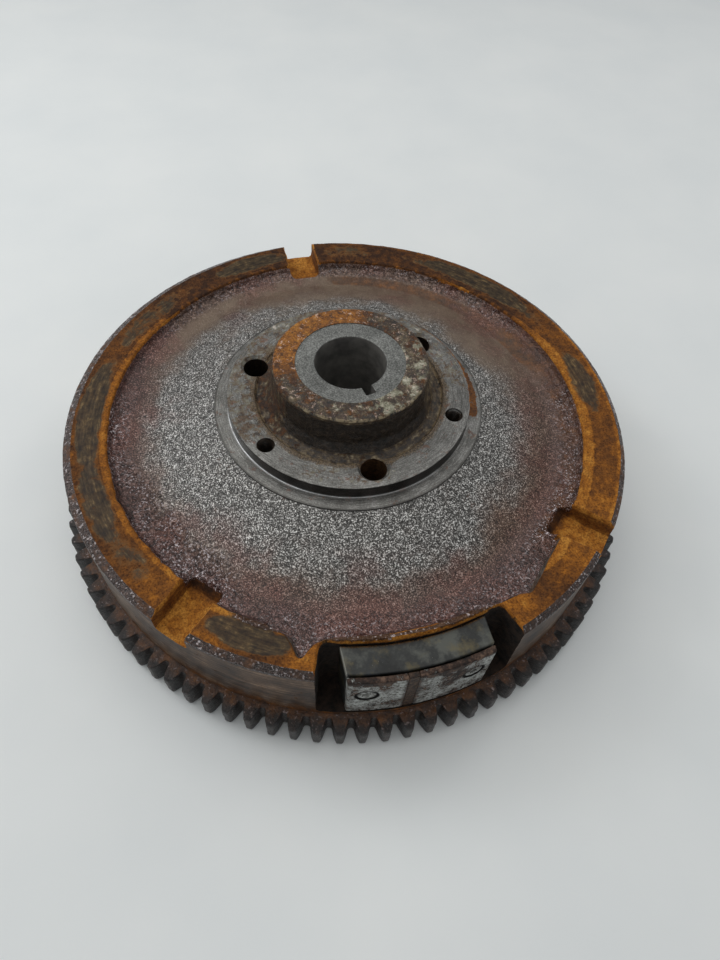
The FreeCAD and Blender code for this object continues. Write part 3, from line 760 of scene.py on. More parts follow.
def build_retainer_screws():
    """Socket-head screws that hold the retaining ring up against the rim."""
    levels = [(-14.0, 1.6), (-13.6, 2.0), (-3.4, 2.0), (-3.38, 3.45), (-3.2, 3.6), (-1.45, 3.6)]
    levels += [(-1.2, 3.35), (-1.19, 2.6)]
    screws = []
    for index, angle in enumerate(RETAINER_ANGLES, 1):
        name, node = f"screw_retainer_{index}", f"retainer_screw_{index}"
        screws.append(socket_screw(name, node, levels, (1.5, 1.2), upright, angle))
    return screws


# ---------------------------------------------------------------- alternator side
def build_charging_magnets():
    """Magnet segments of the alternator, inside the rim on the engine side."""
    magnets = []
    for index in range(10):
        node = f"charging_magnet_{index + 1:02d}"
        magnet = bent_block(
            f"alternator_{node}", "charging_magnet", node, (83.0, 90.3), (5.4, 26.0),
            (-15.5, 15.5), 0.5, 1.6, True
        )
        move_points(magnet.data, turned(points_of(magnet.data), 36.0 * index))
        wear_block(magnet, 0.06, 2.2, 81 + index)
        magnets.append(magnet)
    return magnets


def build_retainer():
    """Pressed ring with a rolled edge that holds the charging magnets, flanged below the rim."""
    section = [(81.2, 3.4, 0.9, 1.2), (98.6, 3.4, 0.4, 0.6), (98.6, 4.9, 0.4, 1.2)]
    section += [(82.8, 4.9, 0.2, 1.5), (82.8, 26.4, 0.5, 0.6), (81.2, 26.4, 0.5, 1.5)]
    points, faces = lathe(round_corners(section), 480)
    ring = mesh_piece("retainer_ring", points, faces, "retainer", "magnet_retainer")
    through = [(CLEAR_BELOW, RETAINER_HOLE), (5.2, RETAINER_HOLE)]
    holes = [hole_cutter(RETAINER_CIRCLE, angle, through, 24) for angle in RETAINER_ANGLES]
    cut_away(ring, *join_solids(holes))
    lift(ring, 0.05 * rough_field(points_of(ring.data), 9.0, 93))
    soften(ring, 40.0)
    return ring


# ---------------------------------------------------------------- materials
def tone(red, green, blue):
    """Colour for a shader from display values of 0 to 255."""
    values = []
    for value in (red, green, blue):
        value /= 255.0
        values.append(value / 12.92 if value <= 0.04045 else ((value + 0.055) / 1.055) ** 2.4)
    return (*values, 1.0)


class Value:
    """A number worked out by a material's nodes, which adds, subtracts and multiplies like any other."""

    def __init__(self, finish, socket):
        self.finish = finish
        self.socket = socket

    def __add__(self, other):
        return self.finish.math("ADD", self, other)

    def __sub__(self, other):
        return self.finish.math("SUBTRACT", self, other)

    def __rsub__(self, other):
        return self.finish.math("SUBTRACT", other, self)

    def __mul__(self, other):
        return self.finish.math("MULTIPLY", self, other)


class Finish:
    """One procedural material, with short calls for the nodes that it is made of."""

    def __init__(self, name, roughness=0.5, metallic=0.0, specular=0.5):
        self.material = bpy.data.materials.new(name)
        self.material.use_nodes = True
        self.tree = self.material.node_tree
        self.shader = self.tree.nodes["Principled BSDF"]
        self.shader.inputs["Roughness"].default_value = roughness
        self.shader.inputs["Metallic"].default_value = metallic
        self.shader.inputs["Specular IOR Level"].default_value = specular
        place = self.add("ShaderNodeTexCoord").outputs["Object"]
        scale = self.add("ShaderNodeVectorMath", operation="SCALE")
        self.tree.links.new(place, scale.inputs[0])
        scale.inputs["Scale"].default_value = 1.0 / MM
        self.place = scale.outputs[0]

    def add(self, kind, **settings):
        node = self.tree.nodes.new(kind)
        for key, value in settings.items():
            setattr(node, key, value)
        return node

    def feed(self, socket, value):
        """Give an input a node's output, a display colour or a plain number."""
        if isinstance(value, Value):
            value = value.socket
        if isinstance(value, bpy.types.NodeSocket):
            self.tree.links.new(value, socket)
        else:
            socket.default_value = tone(*value) if isinstance(value, tuple) else value

    def attribute(self, name):
        node = self.add("ShaderNodeAttribute", attribute_name=name)
        return Value(self, node.outputs["Fac"])

    def math(self, operation, first, second=0.0, clamp=False):
        node = self.add("ShaderNodeMath", operation=operation, use_clamp=clamp)
        self.feed(node.inputs[0], first)
        self.feed(node.inputs[1], second)
        return Value(self, node.outputs[0])

    def split(self, vector):
        node = self.add("ShaderNodeSeparateXYZ")
        self.feed(node.inputs[0], vector)
        return [Value(self, output) for output in node.outputs]

    def radius(self):
        x, y, _ = self.split(self.place)
        return self.math("SQRT", x * x + y * y)

    def height(self):
        return self.split(self.place)[2]

    def turning(self, pull=12.0):
        """Position as radius, stretched arc and height, which draws textures out round the axis."""
        x, y, z = self.split(self.place)
        angle = self.math("ARCTAN2", y, x)
        joined = self.add("ShaderNodeCombineXYZ")
        self.feed(joined.inputs[0], self.radius())
        self.feed(joined.inputs[1], angle * (100.0 / pull))
        self.feed(joined.inputs[2], z)
        return joined.outputs[0]

    def noise(self, size, detail, roughness, offset=0.0, distortion=0.0, place=None):
        """Cloudy values about 0.5 with features of a size in millimetres."""
        node = self.add("ShaderNodeTexNoise", noise_dimensions="4D")
        self.feed(node.inputs["Vector"], place or self.place)
        self.feed(node.inputs["W"], offset)
        self.feed(node.inputs["Scale"], 1.0 / size)
        self.feed(node.inputs["Detail"], detail)
        self.feed(node.inputs["Roughness"], roughness)
        self.feed(node.inputs["Distortion"], distortion)
        return Value(self, node.outputs["Fac"])

    def window(self, value, low, high):
        """0 at low, 1 at high, smooth between."""
        node = self.add("ShaderNodeMapRange", interpolation_type="SMOOTHSTEP")
        self.feed(node.inputs["Value"], value)
        self.feed(node.inputs["From Min"], low)
        self.feed(node.inputs["From Max"], high)
        return Value(self, node.outputs["Result"])

    def spots(self, low, high, *noise, **more):
        """Patches of 1 where a noise rises above high, and 0 where it is below low."""
        return self.window(self.noise(*noise, **more), low, high)

    def span(self, value, low, high):
        """A 0 to 1 value as one between low and high."""
        node = self.add("ShaderNodeMapRange")
        self.feed(node.inputs["Value"], value)
        self.feed(node.inputs["To Min"], low)
        self.feed(node.inputs["To Max"], high)
        return Value(self, node.outputs["Result"])

    def mix(self, share, first, second):
        node = self.add("ShaderNodeMix", data_type="RGBA")
        self.feed(node.inputs["Factor"], share)
        self.feed(node.inputs[6], first)
        self.feed(node.inputs[7], second)
        return node.outputs[2]

    def tint(self, colour, shade):
        node = self.add("ShaderNodeMix", data_type="RGBA", blend_type="MULTIPLY")
        node.inputs["Factor"].default_value = 1.0
        self.feed(node.inputs[6], colour)
        self.feed(node.inputs[7], shade)
        return node.outputs[2]

    def ramp(self, value, *stops):
        """Colour ramp through stops of position, red, green and blue."""
        node = self.add("ShaderNodeValToRGB")
        elements = node.color_ramp.elements
        while len(elements) < len(stops):
            elements.new(0.5)
        for element, (position, *colour) in zip(elements, stops):
            element.position = position
            element.color = tone(*colour)
        self.feed(node.inputs["Fac"], value)
        return node.outputs["Color"]

    def union(self, first, second):
        return self.math("MAXIMUM", first, second)

    def blend(self, share, first, second):
        """Plain number between two others."""
        node = self.add("ShaderNodeMix", data_type="FLOAT")
        self.feed(node.inputs[0], share)
        self.feed(node.inputs[2], first)
        self.feed(node.inputs[3], second)
        return Value(self, node.outputs[0])

    def finish(self, colour, roughness=None, height=None, bump=1.0, metallic=None):
        """Link the surface's colour, roughness, metal share and its height in millimetres."""
        self.feed(self.shader.inputs["Base Color"], colour)
        if roughness is not None:
            self.feed(self.shader.inputs["Roughness"], roughness)
        if metallic is not None:
            self.feed(self.shader.inputs["Metallic"], metallic)
        if height is not None:
            node = self.add("ShaderNodeBump")
            node.inputs["Strength"].default_value = bump
            node.inputs["Distance"].default_value = MM
            self.feed(node.inputs["Height"], height)
            self.feed(self.shader.inputs["Normal"], node.outputs["Normal"])
        return self.material


def rust_colour(finish, size=5.0, bright=0.5, contrast=1.0):
    """Granular iron rust between red-brown and orange; bright is a number or a mask of 0 to 1."""
    blotches = (finish.noise(size, 5.0, 0.62) - 0.5) * contrast
    patches = blotches + finish.span(bright, 0.28, 0.76)
    base = finish.ramp(
        patches, (0.26, 62, 38, 22), (0.42, 104, 64, 28), (0.56, 136, 84, 30), (0.68, 170, 107, 34),
        (0.82, 200, 138, 56)
    )
    grains = finish.noise(0.65, 4.0, 0.72, 21.0)
    shade = finish.ramp(grains, (0.36, 150, 136, 128), (0.48, 218, 214, 210), (0.60, 255, 255, 255))
    return finish.tint(base, shade)


def glossy_paint(finish):
    """Colour and height of lumpy purple-brown paint, with its bright glints painted in as pale highlight
    spots.
    """
    lumps = finish.noise(1.2, 3.0, 0.6)
    grain = finish.noise(0.5, 2.0, 0.6, 3.0)
    colour = finish.ramp(
        lumps * 0.5 + grain * 0.5, (0.38, 18, 10, 7), (0.49, 50, 33, 27), (0.58, 80, 60, 52),
        (0.68, 140, 120, 114)
    )
    # Painted highlight: pale spots where a fine noise peaks.
    glint = finish.window(finish.noise(0.9, 2.0, 0.5, 14.0), 0.58, 0.66)
    colour = finish.mix(glint * 0.6, colour, (222, 212, 214))
    height = lumps * 0.9 + grain * 0.25
    return colour, height


def cast_web_finish():
    """Coarse sand-cast iron: silvery high spots, the near-white ones a painted sparkle highlight, and dark
    pits under a brown film; glossier near the rim, with painted highlight spots there.
    """
    f = Finish("sand_cast_iron", metallic=0.3, specular=0.7)
    radius = f.radius()
    sand = f.noise(0.50, 2.0, 0.6)
    lumps = f.noise(1.2, 3.0, 0.62, 3.0)
    clouds = f.noise(13.0, 5.0, 0.66, 7.0)
    lumpy = f.attribute("lumpy")
    share = f.span(lumpy, 0.26, 0.6)
    grain = f.blend(share, sand, lumps)
    # Near-white top of this ramp: painted sparkle highlight on top of the grain's own tone.
    silver = f.ramp(
        grain, (0.40, 16, 15, 14), (0.47, 66, 64, 61), (0.53, 114, 112, 109), (0.61, 236, 235, 232)
    )
    brown = f.ramp(grain, (0.39, 28, 18, 12), (0.47, 76, 54, 42), (0.54, 106, 82, 66), (0.63, 180, 158, 142))
    purple = f.ramp(grain, (0.39, 22, 10, 8), (0.47, 60, 38, 34), (0.55, 92, 64, 58), (0.65, 156, 126, 122))
    cloudy = clouds - 0.5
    film = f.attribute("film") + cloudy * 1.5
    colour = f.mix(f.window(film, 0.0, 0.95), silver, brown)
    violet = f.attribute("violet") + cloudy * 1.1
    colour = f.mix(f.window(violet, 0.15, 0.95), colour, purple)
    # Painted light: plain, grain-free tone at the back, where the grain catches no sparkle from the lights.
    plain = f.ramp(clouds, (0.35, 98, 76, 60), (0.65, 134, 118, 100))
    colour = f.mix(f.attribute("glintless_back") * f.window(film, -0.1, 0.6) * 0.75, colour, plain)
    fringe = f.attribute("fringe") + f.noise(2.6, 5.0, 0.7, 11.0) - 0.5
    colour = f.mix(f.window(fringe, 0.35, 0.95) * 0.8, colour, rust_colour(f, 4.0, 0.25))
    bloom = f.spots(0.47, 0.62, 24.0, 4.0, 0.6, 31.0) * f.window(radius, 60.0, 76.0)
    red = f.ramp(grain, (0.39, 30, 10, 6), (0.48, 86, 46, 38), (0.56, 122, 80, 68), (0.64, 186, 150, 140))
    colour = f.mix(bloom * 0.6, colour, red)
    spots = f.spots(0.62, 0.72, 7.0, 6.0, 0.7, 15.0)
    colour = f.mix(spots * 0.5, colour, (96, 62, 42))
    # Painted highlight: near-white spots on the lumpy, glossy skin near the rim.
    glint_noise = f.noise(0.75, 3.0, 0.62, distortion=0.6, offset=25.0)
    glint = f.window(glint_noise, 0.54, 0.64) * lumpy * f.window(clouds, 0.38, 0.54)
    colour = f.mix(glint * 0.8, colour, (226, 216, 220))
    edge = f.window(f.height() + f.span(lumps, -0.9, 0.9), 44.7, 45.6)
    edge = edge * f.window(radius, 86.0, 90.0)
    colour = f.mix(edge, colour, rust_colour(f, 4.0, 0.55))
    rough = f.blend(lumpy, f.span(sand, 0.32, 0.56), 0.17)
    rough = f.blend(edge, rough, 0.85)
    height = sand * 0.30 + lumps * f.blend(lumpy, 0.40, 1.5)
    return f.finish(colour, rough, height, 0.9)


def land_finish():
    """Machined land: rusted brown and orange, with worn olive-dark patches that keep their turning marks."""
    f = Finish("rusted_land", specular=0.25)
    broad = f.noise(6.5, 5.0, 0.66, 1.0)
    middle = f.noise(2.4, 5.0, 0.66, 9.0)
    fine = f.noise(0.8, 4.0, 0.68, 2.0)
    marks = f.noise(1.0, 4.0, 0.65, place=f.turning(7.0))
    wobble = middle * 1.4 + fine * 0.5 - 0.95
    strip = f.window(f.attribute("strip") + wobble, 0.30, 0.70)
    bright = f.attribute("bright_rust") + wobble * 0.7
    bright = f.math("ADD", bright, strip * 0.38, clamp=True)
    ragged = (broad - 0.5) * 1.3 + wobble * 0.55
    worn = f.window(f.attribute("worn") + ragged, 0.34, 0.70)
    olive = f.ramp(
        marks * 0.55 + middle * 0.45, (0.38, 20, 14, 9), (0.47, 48, 38, 24), (0.55, 76, 62, 40),
        (0.63, 128, 106, 70)
    )
    colour = f.mix(worn * 0.90, rust_colour(f, 5.0, bright, 0.75), olive)
    halo = f.window(worn, 0.02, 0.30) * f.window(worn, 0.80, 0.45)
    colour = f.mix(halo * 0.35, colour, (128, 84, 38))
    rough = f.blend(worn, 0.82, 0.50)
    height = fine * f.blend(worn, 0.32, 0.12) + marks * 0.14
    height = height + strip * 0.12
    # The lip's glossy paint carries the painted highlight spots of glossy_paint.
    skin, lumps = glossy_paint(f)
    lip = f.window(f.attribute("front_lip") + wobble * 0.8, 0.30, 0.70)
    colour = f.mix(lip * 0.9, colour, skin)
    height = f.blend(lip, height, lumps)
    return f.finish(colour, f.blend(lip, rough, 0.3), height, 0.8)


def wall_finish():
    """Turned outer wall of the rim: smooth tan-brown stain with rust creeping up from the gear, and a
    painted shade line just under the bevel.
    """
    f = Finish("stained_rim_wall", specular=0.35)
    broad = f.noise(13.0, 7.0, 0.76)
    fine = f.noise(0.9, 3.0, 0.6, 2.0)
    lines = f.noise(0.7, 2.0, 0.5, place=f.turning(14.0))
    stain = f.ramp(
        broad * 0.6 + lines * 0.4, (0.38, 22, 15, 10), (0.46, 58, 42, 31), (0.54, 94, 72, 54),
        (0.64, 142, 116, 93)
    )
    low = f.height() + f.span(broad, -12.0, 12.0)
    rust = f.window(low, 19.0, 12.5)
    spots = f.spots(0.60, 0.68, 4.0, 5.0, 0.7, 4.0)
    rust = f.union(rust, spots * 0.8)
    colour = f.mix(rust, stain, rust_colour(f, 4.0, 0.30))
    # Painted shade: dark line along the top of the wall, under the bevel's edge.
    shade_under_bevel = f.window(f.height() + f.span(fine, -0.5, 0.5), 43.4, 44.2)
    colour = f.mix(shade_under_bevel * 0.85, colour, (24, 16, 14))
    height = fine * f.blend(rust, 0.04, 0.3) + lines * 0.08
    return f.finish(colour, f.blend(rust, 0.48, 0.85), height, 0.7)


def bevel_finish():
    """Lumpy glossy paint left on the rim's cast bevel, rusty in places and darker towards the magnet."""
    f = Finish("painted_bevel", specular=0.6)
    # The bevel's glossy paint carries the painted highlight spots of glossy_paint.
    skin, lumps = glossy_paint(f)
    rust = f.spots(0.48, 0.60, 7.0, 5.0, 0.65, 9.0)
    colour = f.mix(rust * 0.75, skin, rust_colour(f, 4.0, 0.22))
    front = f.window(f.split(f.place)[1], -84.0, -100.0)
    colour = f.mix(front * 0.4, colour, (34, 24, 18))
    return f.finish(colour, f.blend(rust, 0.24, 0.6), lumps, 0.9)


def cut_finish():
    """Rough walls of the notches and the magnet recess: orange rust high up, near-black in the recess,
    partly as painted shade, with upright walls painted darker as shade.
    """
    f = Finish("corroded_pocket", specular=0.3)
    fine = f.noise(1.0, 4.0, 0.65)
    lumps = f.noise(3.0, 4.0, 0.6, 3.0)
    # Near-black skin of the recess: partly dark cast skin, partly painted shade.
    dark = f.ramp(lumps, (0.38, 14, 11, 9), (0.62, 48, 36, 28))
    rust = f.window(f.attribute("pocket_rust") + lumps - 0.5, 0.30, 0.60)
    x, y, z = f.split(f.place)
    behind = f.window(f.math("ABSOLUTE", x), 26.5, 25.0) * f.window(y, -88.0, -90.0)
    lip = f.window(z + f.span(fine, -0.5, 0.5), 43.7, 44.3)
    rust = f.union(rust, behind * lip)
    # Rust darker towards the notches' inner ends, partly painted shade of the step there.
    reach = f.window(f.radius(), 88.5, 95.0)
    # Painted shade: upright walls below the lip tinted darker than the floors.
    upright = f.window(f.split(f.add("ShaderNodeNewGeometry").outputs["True Normal"])[2], 0.7, 0.3)
    shaded = upright * f.window(z, 44.6, 43.6)
    shade = f.mix(shaded * 0.7, (255, 255, 255), (150, 136, 128))
    colour = f.mix(rust, dark, f.tint(rust_colour(f, 4.0, f.span(reach, 0.05, 0.95)), shade))
    height = fine * 0.4 + lumps * 0.5
    return f.finish(colour, 0.85, height, 0.9)


def machined_finish():
    """Turned grey faces of the spot face and the fan spigot, with fine marks, stains and rust flecks,
    painted shade on the spigot's short wall and the spot face's edge, and a painted highlight at the
    spigot's foot.
    """
    f = Finish("turned_iron", metallic=0.7, specular=0.5)
    radius = f.radius()
    height = f.height()
    marks = f.noise(0.30, 2.0, 0.6, place=f.turning(30.0))
    broad = f.noise(9.0, 4.0, 0.6, 2.0)
    middle = f.noise(2.2, 5.0, 0.7, 12.0)
    fine = f.noise(0.5, 3.0, 0.6, 4.0)
    mixed = marks * 0.35 + broad * 0.30
    grey = f.ramp(mixed + fine * 0.35, (0.38, 74, 73, 70), (0.50, 114, 113, 110), (0.62, 164, 163, 160))
    stained = f.attribute("spigot_stain") + (middle - 0.5) * 3.0
    stained = f.window(stained, 0.32, 0.62)
    stain = f.ramp(
        f.noise(3.2, 5.0, 0.7, 18.0), (0.38, 40, 29, 18), (0.46, 92, 66, 42), (0.53, 108, 100, 82),
        (0.60, 136, 134, 122), (0.66, 206, 196, 184)
    )
    colour = f.mix(stained * 0.8, grey, stain)
    ring = f.window(radius + f.span(middle, 2.6, -2.6), 38.4, 37.2)
    ring_tone = f.ramp(fine, (0.38, 44, 32, 20), (0.50, 86, 68, 47), (0.62, 128, 108, 80))
    colour = f.mix(ring * 0.8, colour, ring_tone)
    flecks = f.spots(0.57, 0.64, 3.4, 6.0, 0.74, 6.0)
    colour = f.mix(flecks * f.span(fine, 0.2, 1.0), colour, (118, 78, 58))
    ragged = (middle - 0.5) * 2.6
    orange = f.window(f.attribute("spot_rust") + ragged, 0.46, 0.62)
    colour = f.mix(orange, colour, rust_colour(f, 3.0, 0.5))
    # Painted shade: the spigot's short wall painted near-black all round.
    wall = f.window(radius, 46.0, 46.3) * f.window(height, 53.4, 54.0) * f.window(radius, 46.9, 46.7)
    wall = wall * f.window(height, 58.3, 58.1)
    colour = f.mix(wall * 0.9, colour, f.ramp(broad, (0.4, 20, 16, 14), (0.6, 50, 43, 39)))
    # Painted shade: broken dark ring along the spot face's outer edge, above its step down to the web.
    rim = f.window(radius, 51.0, 51.5)
    colour = f.mix(rim * f.span(middle, 0.3, 1.0), colour, (58, 56, 53))
    # Painted highlight: bright line round the foot of the spigot, strongest at the front left.
    highlight_share = f.attribute("painted_foot_highlight")
    colour = f.mix(highlight_share, colour, (240, 243, 246))
    dull = f.union(f.union(stained, ring), f.union(flecks, orange))
    rough = f.blend(dull, f.span(marks, 0.24, 0.42), 0.72)
    relief = marks * 0.12 + fine * 0.10
    relief = relief + dull * 0.10
    return f.finish(colour, rough, relief, 0.6, f.span(dull, 0.7, 0.1))


def hub_finish():
    """Hub and the trough round it: oily dark skin, darkest on the front wall as painted shade, olive stains,
    flaking rust and bare pale patches.
    """
    f = Finish("stained_hub", specular=0.55)
    radius = f.radius()
    height = f.height()
    broad = f.noise(8.0, 5.0, 0.62)
    middle = f.noise(2.6, 5.0, 0.7, 3.0)
    fine = f.noise(0.7, 4.0, 0.7, 5.0)
    streaks = f.noise(1.2, 4.0, 0.65, place=f.turning(6.0), offset=16.0)
    crown = f.attribute("crown")
    mixed = middle * 0.62 + fine * 0.38
    stain = f.ramp(
        f.blend(crown, streaks * 0.6 + middle * 0.4, mixed), (0.40, 18, 13, 8), (0.47, 50, 37, 23),
        (0.53, 80, 64, 42), (0.59, 118, 104, 78), (0.65, 178, 164, 138)
    )
    rusty = f.attribute("hub_rust") + (f.noise(3.6, 6.0, 0.72, 12.0) - 0.5) * 1.9
    rust = f.window(rusty, 0.42, 0.60)
    colour = f.mix(rust * 0.9, stain, rust_colour(f, 2.2, f.attribute("hub_bright")))
    bare = f.attribute("hub_pale") + (f.noise(4.4, 6.0, 0.7, 8.0) - 0.5) * 2.4
    pale = f.window(bare, 0.55, 0.72)
    green = f.ramp(mixed, (0.38, 88, 82, 66), (0.5, 140, 138, 118), (0.62, 200, 194, 178))
    colour = f.mix(pale, colour, green)
    dark = f.spots(0.52, 0.60, 2.4, 5.0, 0.72, 28.0) * crown
    colour = f.mix(dark * 0.75, colour, (58, 36, 25))
    chips = f.spots(0.57, 0.63, 1.8, 5.0, 0.74, distortion=0.8, offset=33.0) * crown
    colour = f.mix(chips * 0.75, colour, (214, 186, 170))
    # Oily dark skin, with painted shade darkest on the front wall.
    oil_and_front_shade = f.window(f.attribute("oil_and_front_shade") + broad - 0.5, 0.35, 0.65)
    colour = f.mix(oil_and_front_shade * 0.94, colour, f.ramp(mixed, (0.4, 14, 12, 10), (0.64, 60, 50, 42)))
    line = f.window(radius, 28.0, 28.2) * f.window(height, 72.5, 72.8)
    line = line * f.window(mixed, 0.43, 0.54)
    colour = f.mix(line * f.attribute("front_edge") * 0.7, colour, (156, 140, 110))
    lip = f.window(radius, 34.9, 35.3) * f.window(mixed, 0.42, 0.54)
    colour = f.mix(lip * 0.8, colour, (142, 122, 92))
    rough = f.blend(f.union(rust, pale), 0.40, 0.80)
    rough = f.blend(oil_and_front_shade, rough, 0.26)
    relief = fine * 0.35 + middle * 0.8
    relief = relief + rust * 0.15
    return f.finish(colour, rough, relief, 0.9)


def washer_finish():
    """Clean annulus that the crank nut's washer has kept bare: fine grey speckle."""
    f = Finish("washer_face", metallic=0.55, specular=0.5)
    speckle = f.noise(0.55, 3.0, 0.7)
    broad = f.noise(7.0, 3.0, 0.5, 3.0)
    colour = f.ramp(
        speckle * 0.7 + broad * 0.3, (0.36, 64, 65, 63), (0.50, 112, 113, 110), (0.63, 160, 161, 158)
    )
    return f.finish(colour, f.span(speckle, 0.38, 0.6), speckle * 0.12, 0.6)


def bore_finish():
    """Bore, keyway and screw holes: dark oily machined iron with lengthwise scratches, painted darker still
    as shade inside the holes off the axis.
    """
    f = Finish("oiled_bore", metallic=0.3, specular=0.6)
    scratches = f.noise(0.6, 3.0, 0.6, place=f.turning(20.0))
    broad = f.noise(5.0, 4.0, 0.6, 3.0)
    oiled = f.ramp(broad, (0.35, 96, 94, 92), (0.65, 138, 135, 130))
    low = f.ramp(scratches, (0.4, 44, 31, 22), (0.6, 104, 76, 52))
    x, y, _ = f.split(f.place)
    large_hole = f.window(f.math("ABSOLUTE", x), 7.0, 6.0) * f.window(y, -32.0, -33.0)
    fan_holes = f.window(f.radius(), 30.0, 31.0)
    # Painted shade inside the holes off the axis; the front puller hole gets the brown tone instead.
    shaded = f.ramp(scratches, (0.4, 16, 13, 11), (0.6, 58, 47, 38))
    colour = f.mix(large_hole, f.mix(fan_holes, oiled, shaded), low)
    return f.finish(colour, f.span(scratches, 0.25, 0.5), scratches * 0.1, 0.6)


def under_finish():
    """Engine side of the casting: grey-brown sand-cast skin with a thin bloom of rust."""
    f = Finish("underside_cast", metallic=0.2, specular=0.4)
    grain = f.noise(1.3, 3.0, 0.6)
    broad = f.noise(14.0, 5.0, 0.65, 4.0)
    skin = f.ramp(grain, (0.36, 42, 36, 32), (0.64, 112, 102, 94))
    rust = f.window(broad, 0.48, 0.66)
    colour = f.mix(rust * 0.8, skin, rust_colour(f, 4.0, 0.2))
    return f.finish(colour, f.span(grain, 0.5, 0.8), grain * 0.6, 0.8)


def gear_finish():
    """Rusty ring gear: mottled dark top, flanks painted near-black as shade, glossy chips with painted
    highlight spots, and orange in the corner.
    """
    f = Finish("rusted_gear_steel", specular=0.7, metallic=0.15)
    radius = f.radius()
    fine = f.noise(0.8, 4.0, 0.65)
    middle = f.noise(2.4, 5.0, 0.68, 3.0)
    broad = f.noise(12.0, 4.0, 0.6, 6.0)
    mixed = middle * 0.55 + fine * 0.45
    skin = f.ramp(mixed, (0.38, 8, 6, 5), (0.47, 24, 17, 15), (0.56, 48, 36, 32), (0.66, 112, 96, 90))
    wavy = radius + f.span(middle + broad, 4.6, -4.6)
    orange = f.window(wavy, 110.8, 108.0)
    colour = f.mix(orange * 0.7, skin, rust_colour(f, 4.0, 0.22))
    # Painted shade: the upright sides of the teeth darkened to near-black.
    facing = f.add("ShaderNodeNewGeometry").outputs["True Normal"]
    upward = f.split(facing)[2]
    side = f.window(f.math("ABSOLUTE", upward), 0.75, 0.35)
    tip = f.window(radius, 115.8, 116.5)
    flank = side * (1.0 - tip)
    black = f.ramp(mixed, (0.4, 8, 7, 7), (0.55, 26, 20, 18), (0.68, 66, 52, 44))
    colour = f.mix(flank * 0.85, colour, black)
    rubbed = f.ramp(mixed, (0.38, 12, 9, 8), (0.5, 30, 22, 19), (0.66, 78, 65, 60))
    colour = f.mix(tip * side * 0.8, colour, rubbed)
    # Painted highlight: pale spots on glossy chips.
    glint = f.spots(0.61, 0.67, 1.0, 3.0, 0.6, 19.0)
    colour = f.mix(glint * 0.55, colour, (168, 152, 150))
    rough = f.blend(glint, f.span(middle, 0.26, 0.68), 0.2)
    relief = fine * 0.35 + middle * 0.8
    return f.finish(colour, rough, relief, 0.9)


def magnet_finish():
    """Smooth grey magnet block, faintly stained yellow-green, with dark blotches and scratches, and a
    painted highlight along the top of its left end.
    """
    f = Finish("magnet_skin", specular=0.5, metallic=0.25)
    broad = f.noise(8.0, 5.0, 0.62)
    fine = f.noise(0.6, 3.0, 0.65, 2.0)
    grey = f.ramp(broad, (0.38, 16, 18, 18), (0.5, 40, 42, 41), (0.62, 78, 80, 75))
    stain = f.spots(0.50, 0.68, 6.0, 5.0, 0.65, 5.0)
    colour = f.mix(stain * 0.5, grey, (104, 92, 56))
    blotch = f.spots(0.55, 0.66, 6.0, 4.0, 0.6, 8.0)
    colour = f.mix(blotch * 0.7, colour, (36, 40, 44))
    specks = f.spots(0.68, 0.74, 1.1, 3.0, 0.6, 9.0)
    colour = f.mix(specks * 0.5, colour, (150, 146, 136))
    inner_edge = f.window(f.radius(), 98.2, 97.2)
    colour = f.mix(inner_edge * f.window(fine, 0.40, 0.60), colour, (120, 82, 40))
    x = f.split(f.place)[0]
    # Painted highlight: pale line along the top of the block's left end.
    left_edge_highlight = f.window(x, -24.2, -24.7) * f.window(f.height(), 40.0, 42.8)
    colour = f.mix(left_edge_highlight * 0.6, colour, (168, 168, 160))
    return f.finish(colour, f.span(broad, 0.34, 0.55), fine * 0.10, 0.6)


def shoe_finish(name="worn_shoe_paint"):
    """Pole shoes and their screws: chalky white-grey paint worn off the rusty steel at the top, with painted
    shade round the screw heads.
    """
    f = Finish(name, specular=0.35)
    middle = f.noise(2.6, 5.0, 0.68)
    streak = f.noise(1.4, 4.0, 0.68, 3.0)
    broad = f.noise(8.0, 5.0, 0.65, 6.0)
    fine = f.noise(0.6, 3.0, 0.6, 8.0)
    chalk = f.ramp(streak, (0.38, 74, 70, 64), (0.47, 138, 138, 134), (0.58, 188, 191, 187))
    steel = f.ramp(middle, (0.38, 16, 10, 7), (0.5, 48, 32, 24), (0.64, 104, 82, 68))
    high = f.height() + f.span(f.blend(0.5, middle, broad), -14.0, 14.0)
    x = f.split(f.place)[0]
    right = f.window(x, 2.0, 9.0)
    worn = broad * 0.6 + streak * 0.5
    worn = worn + right * 0.03
    bare = f.union(f.window(high, 39.4, 40.8), f.window(worn, 0.57, 0.61))
    band = f.window(f.math("ABSOLUTE", x + f.span(middle, 2.2, 5.0)), 3.4, 2.4)
    bare = f.union(bare, band * 0.8)
    colour = f.mix(bare, chalk, steel)
    # Painted shade: near-black ring in the gap round each screw head.
    colour = f.mix(f.attribute("screw_gap_shade"), colour, (16, 12, 10))
    height = (1.0 - bare) * 0.12 + fine * 0.2
    return f.finish(colour, f.blend(bare, 0.62, 0.70), height, 0.8)


def spacer_finish():
    """Non-magnetic spacer, stained brown."""
    f = Finish("stained_spacer", specular=0.4, metallic=0.2)
    fine = f.noise(1.2, 4.0, 0.65)
    colour = f.ramp(fine, (0.38, 28, 19, 14), (0.5, 62, 45, 34), (0.64, 98, 78, 62))
    return f.finish(colour, f.span(fine, 0.5, 0.75), fine * 0.3, 0.7)


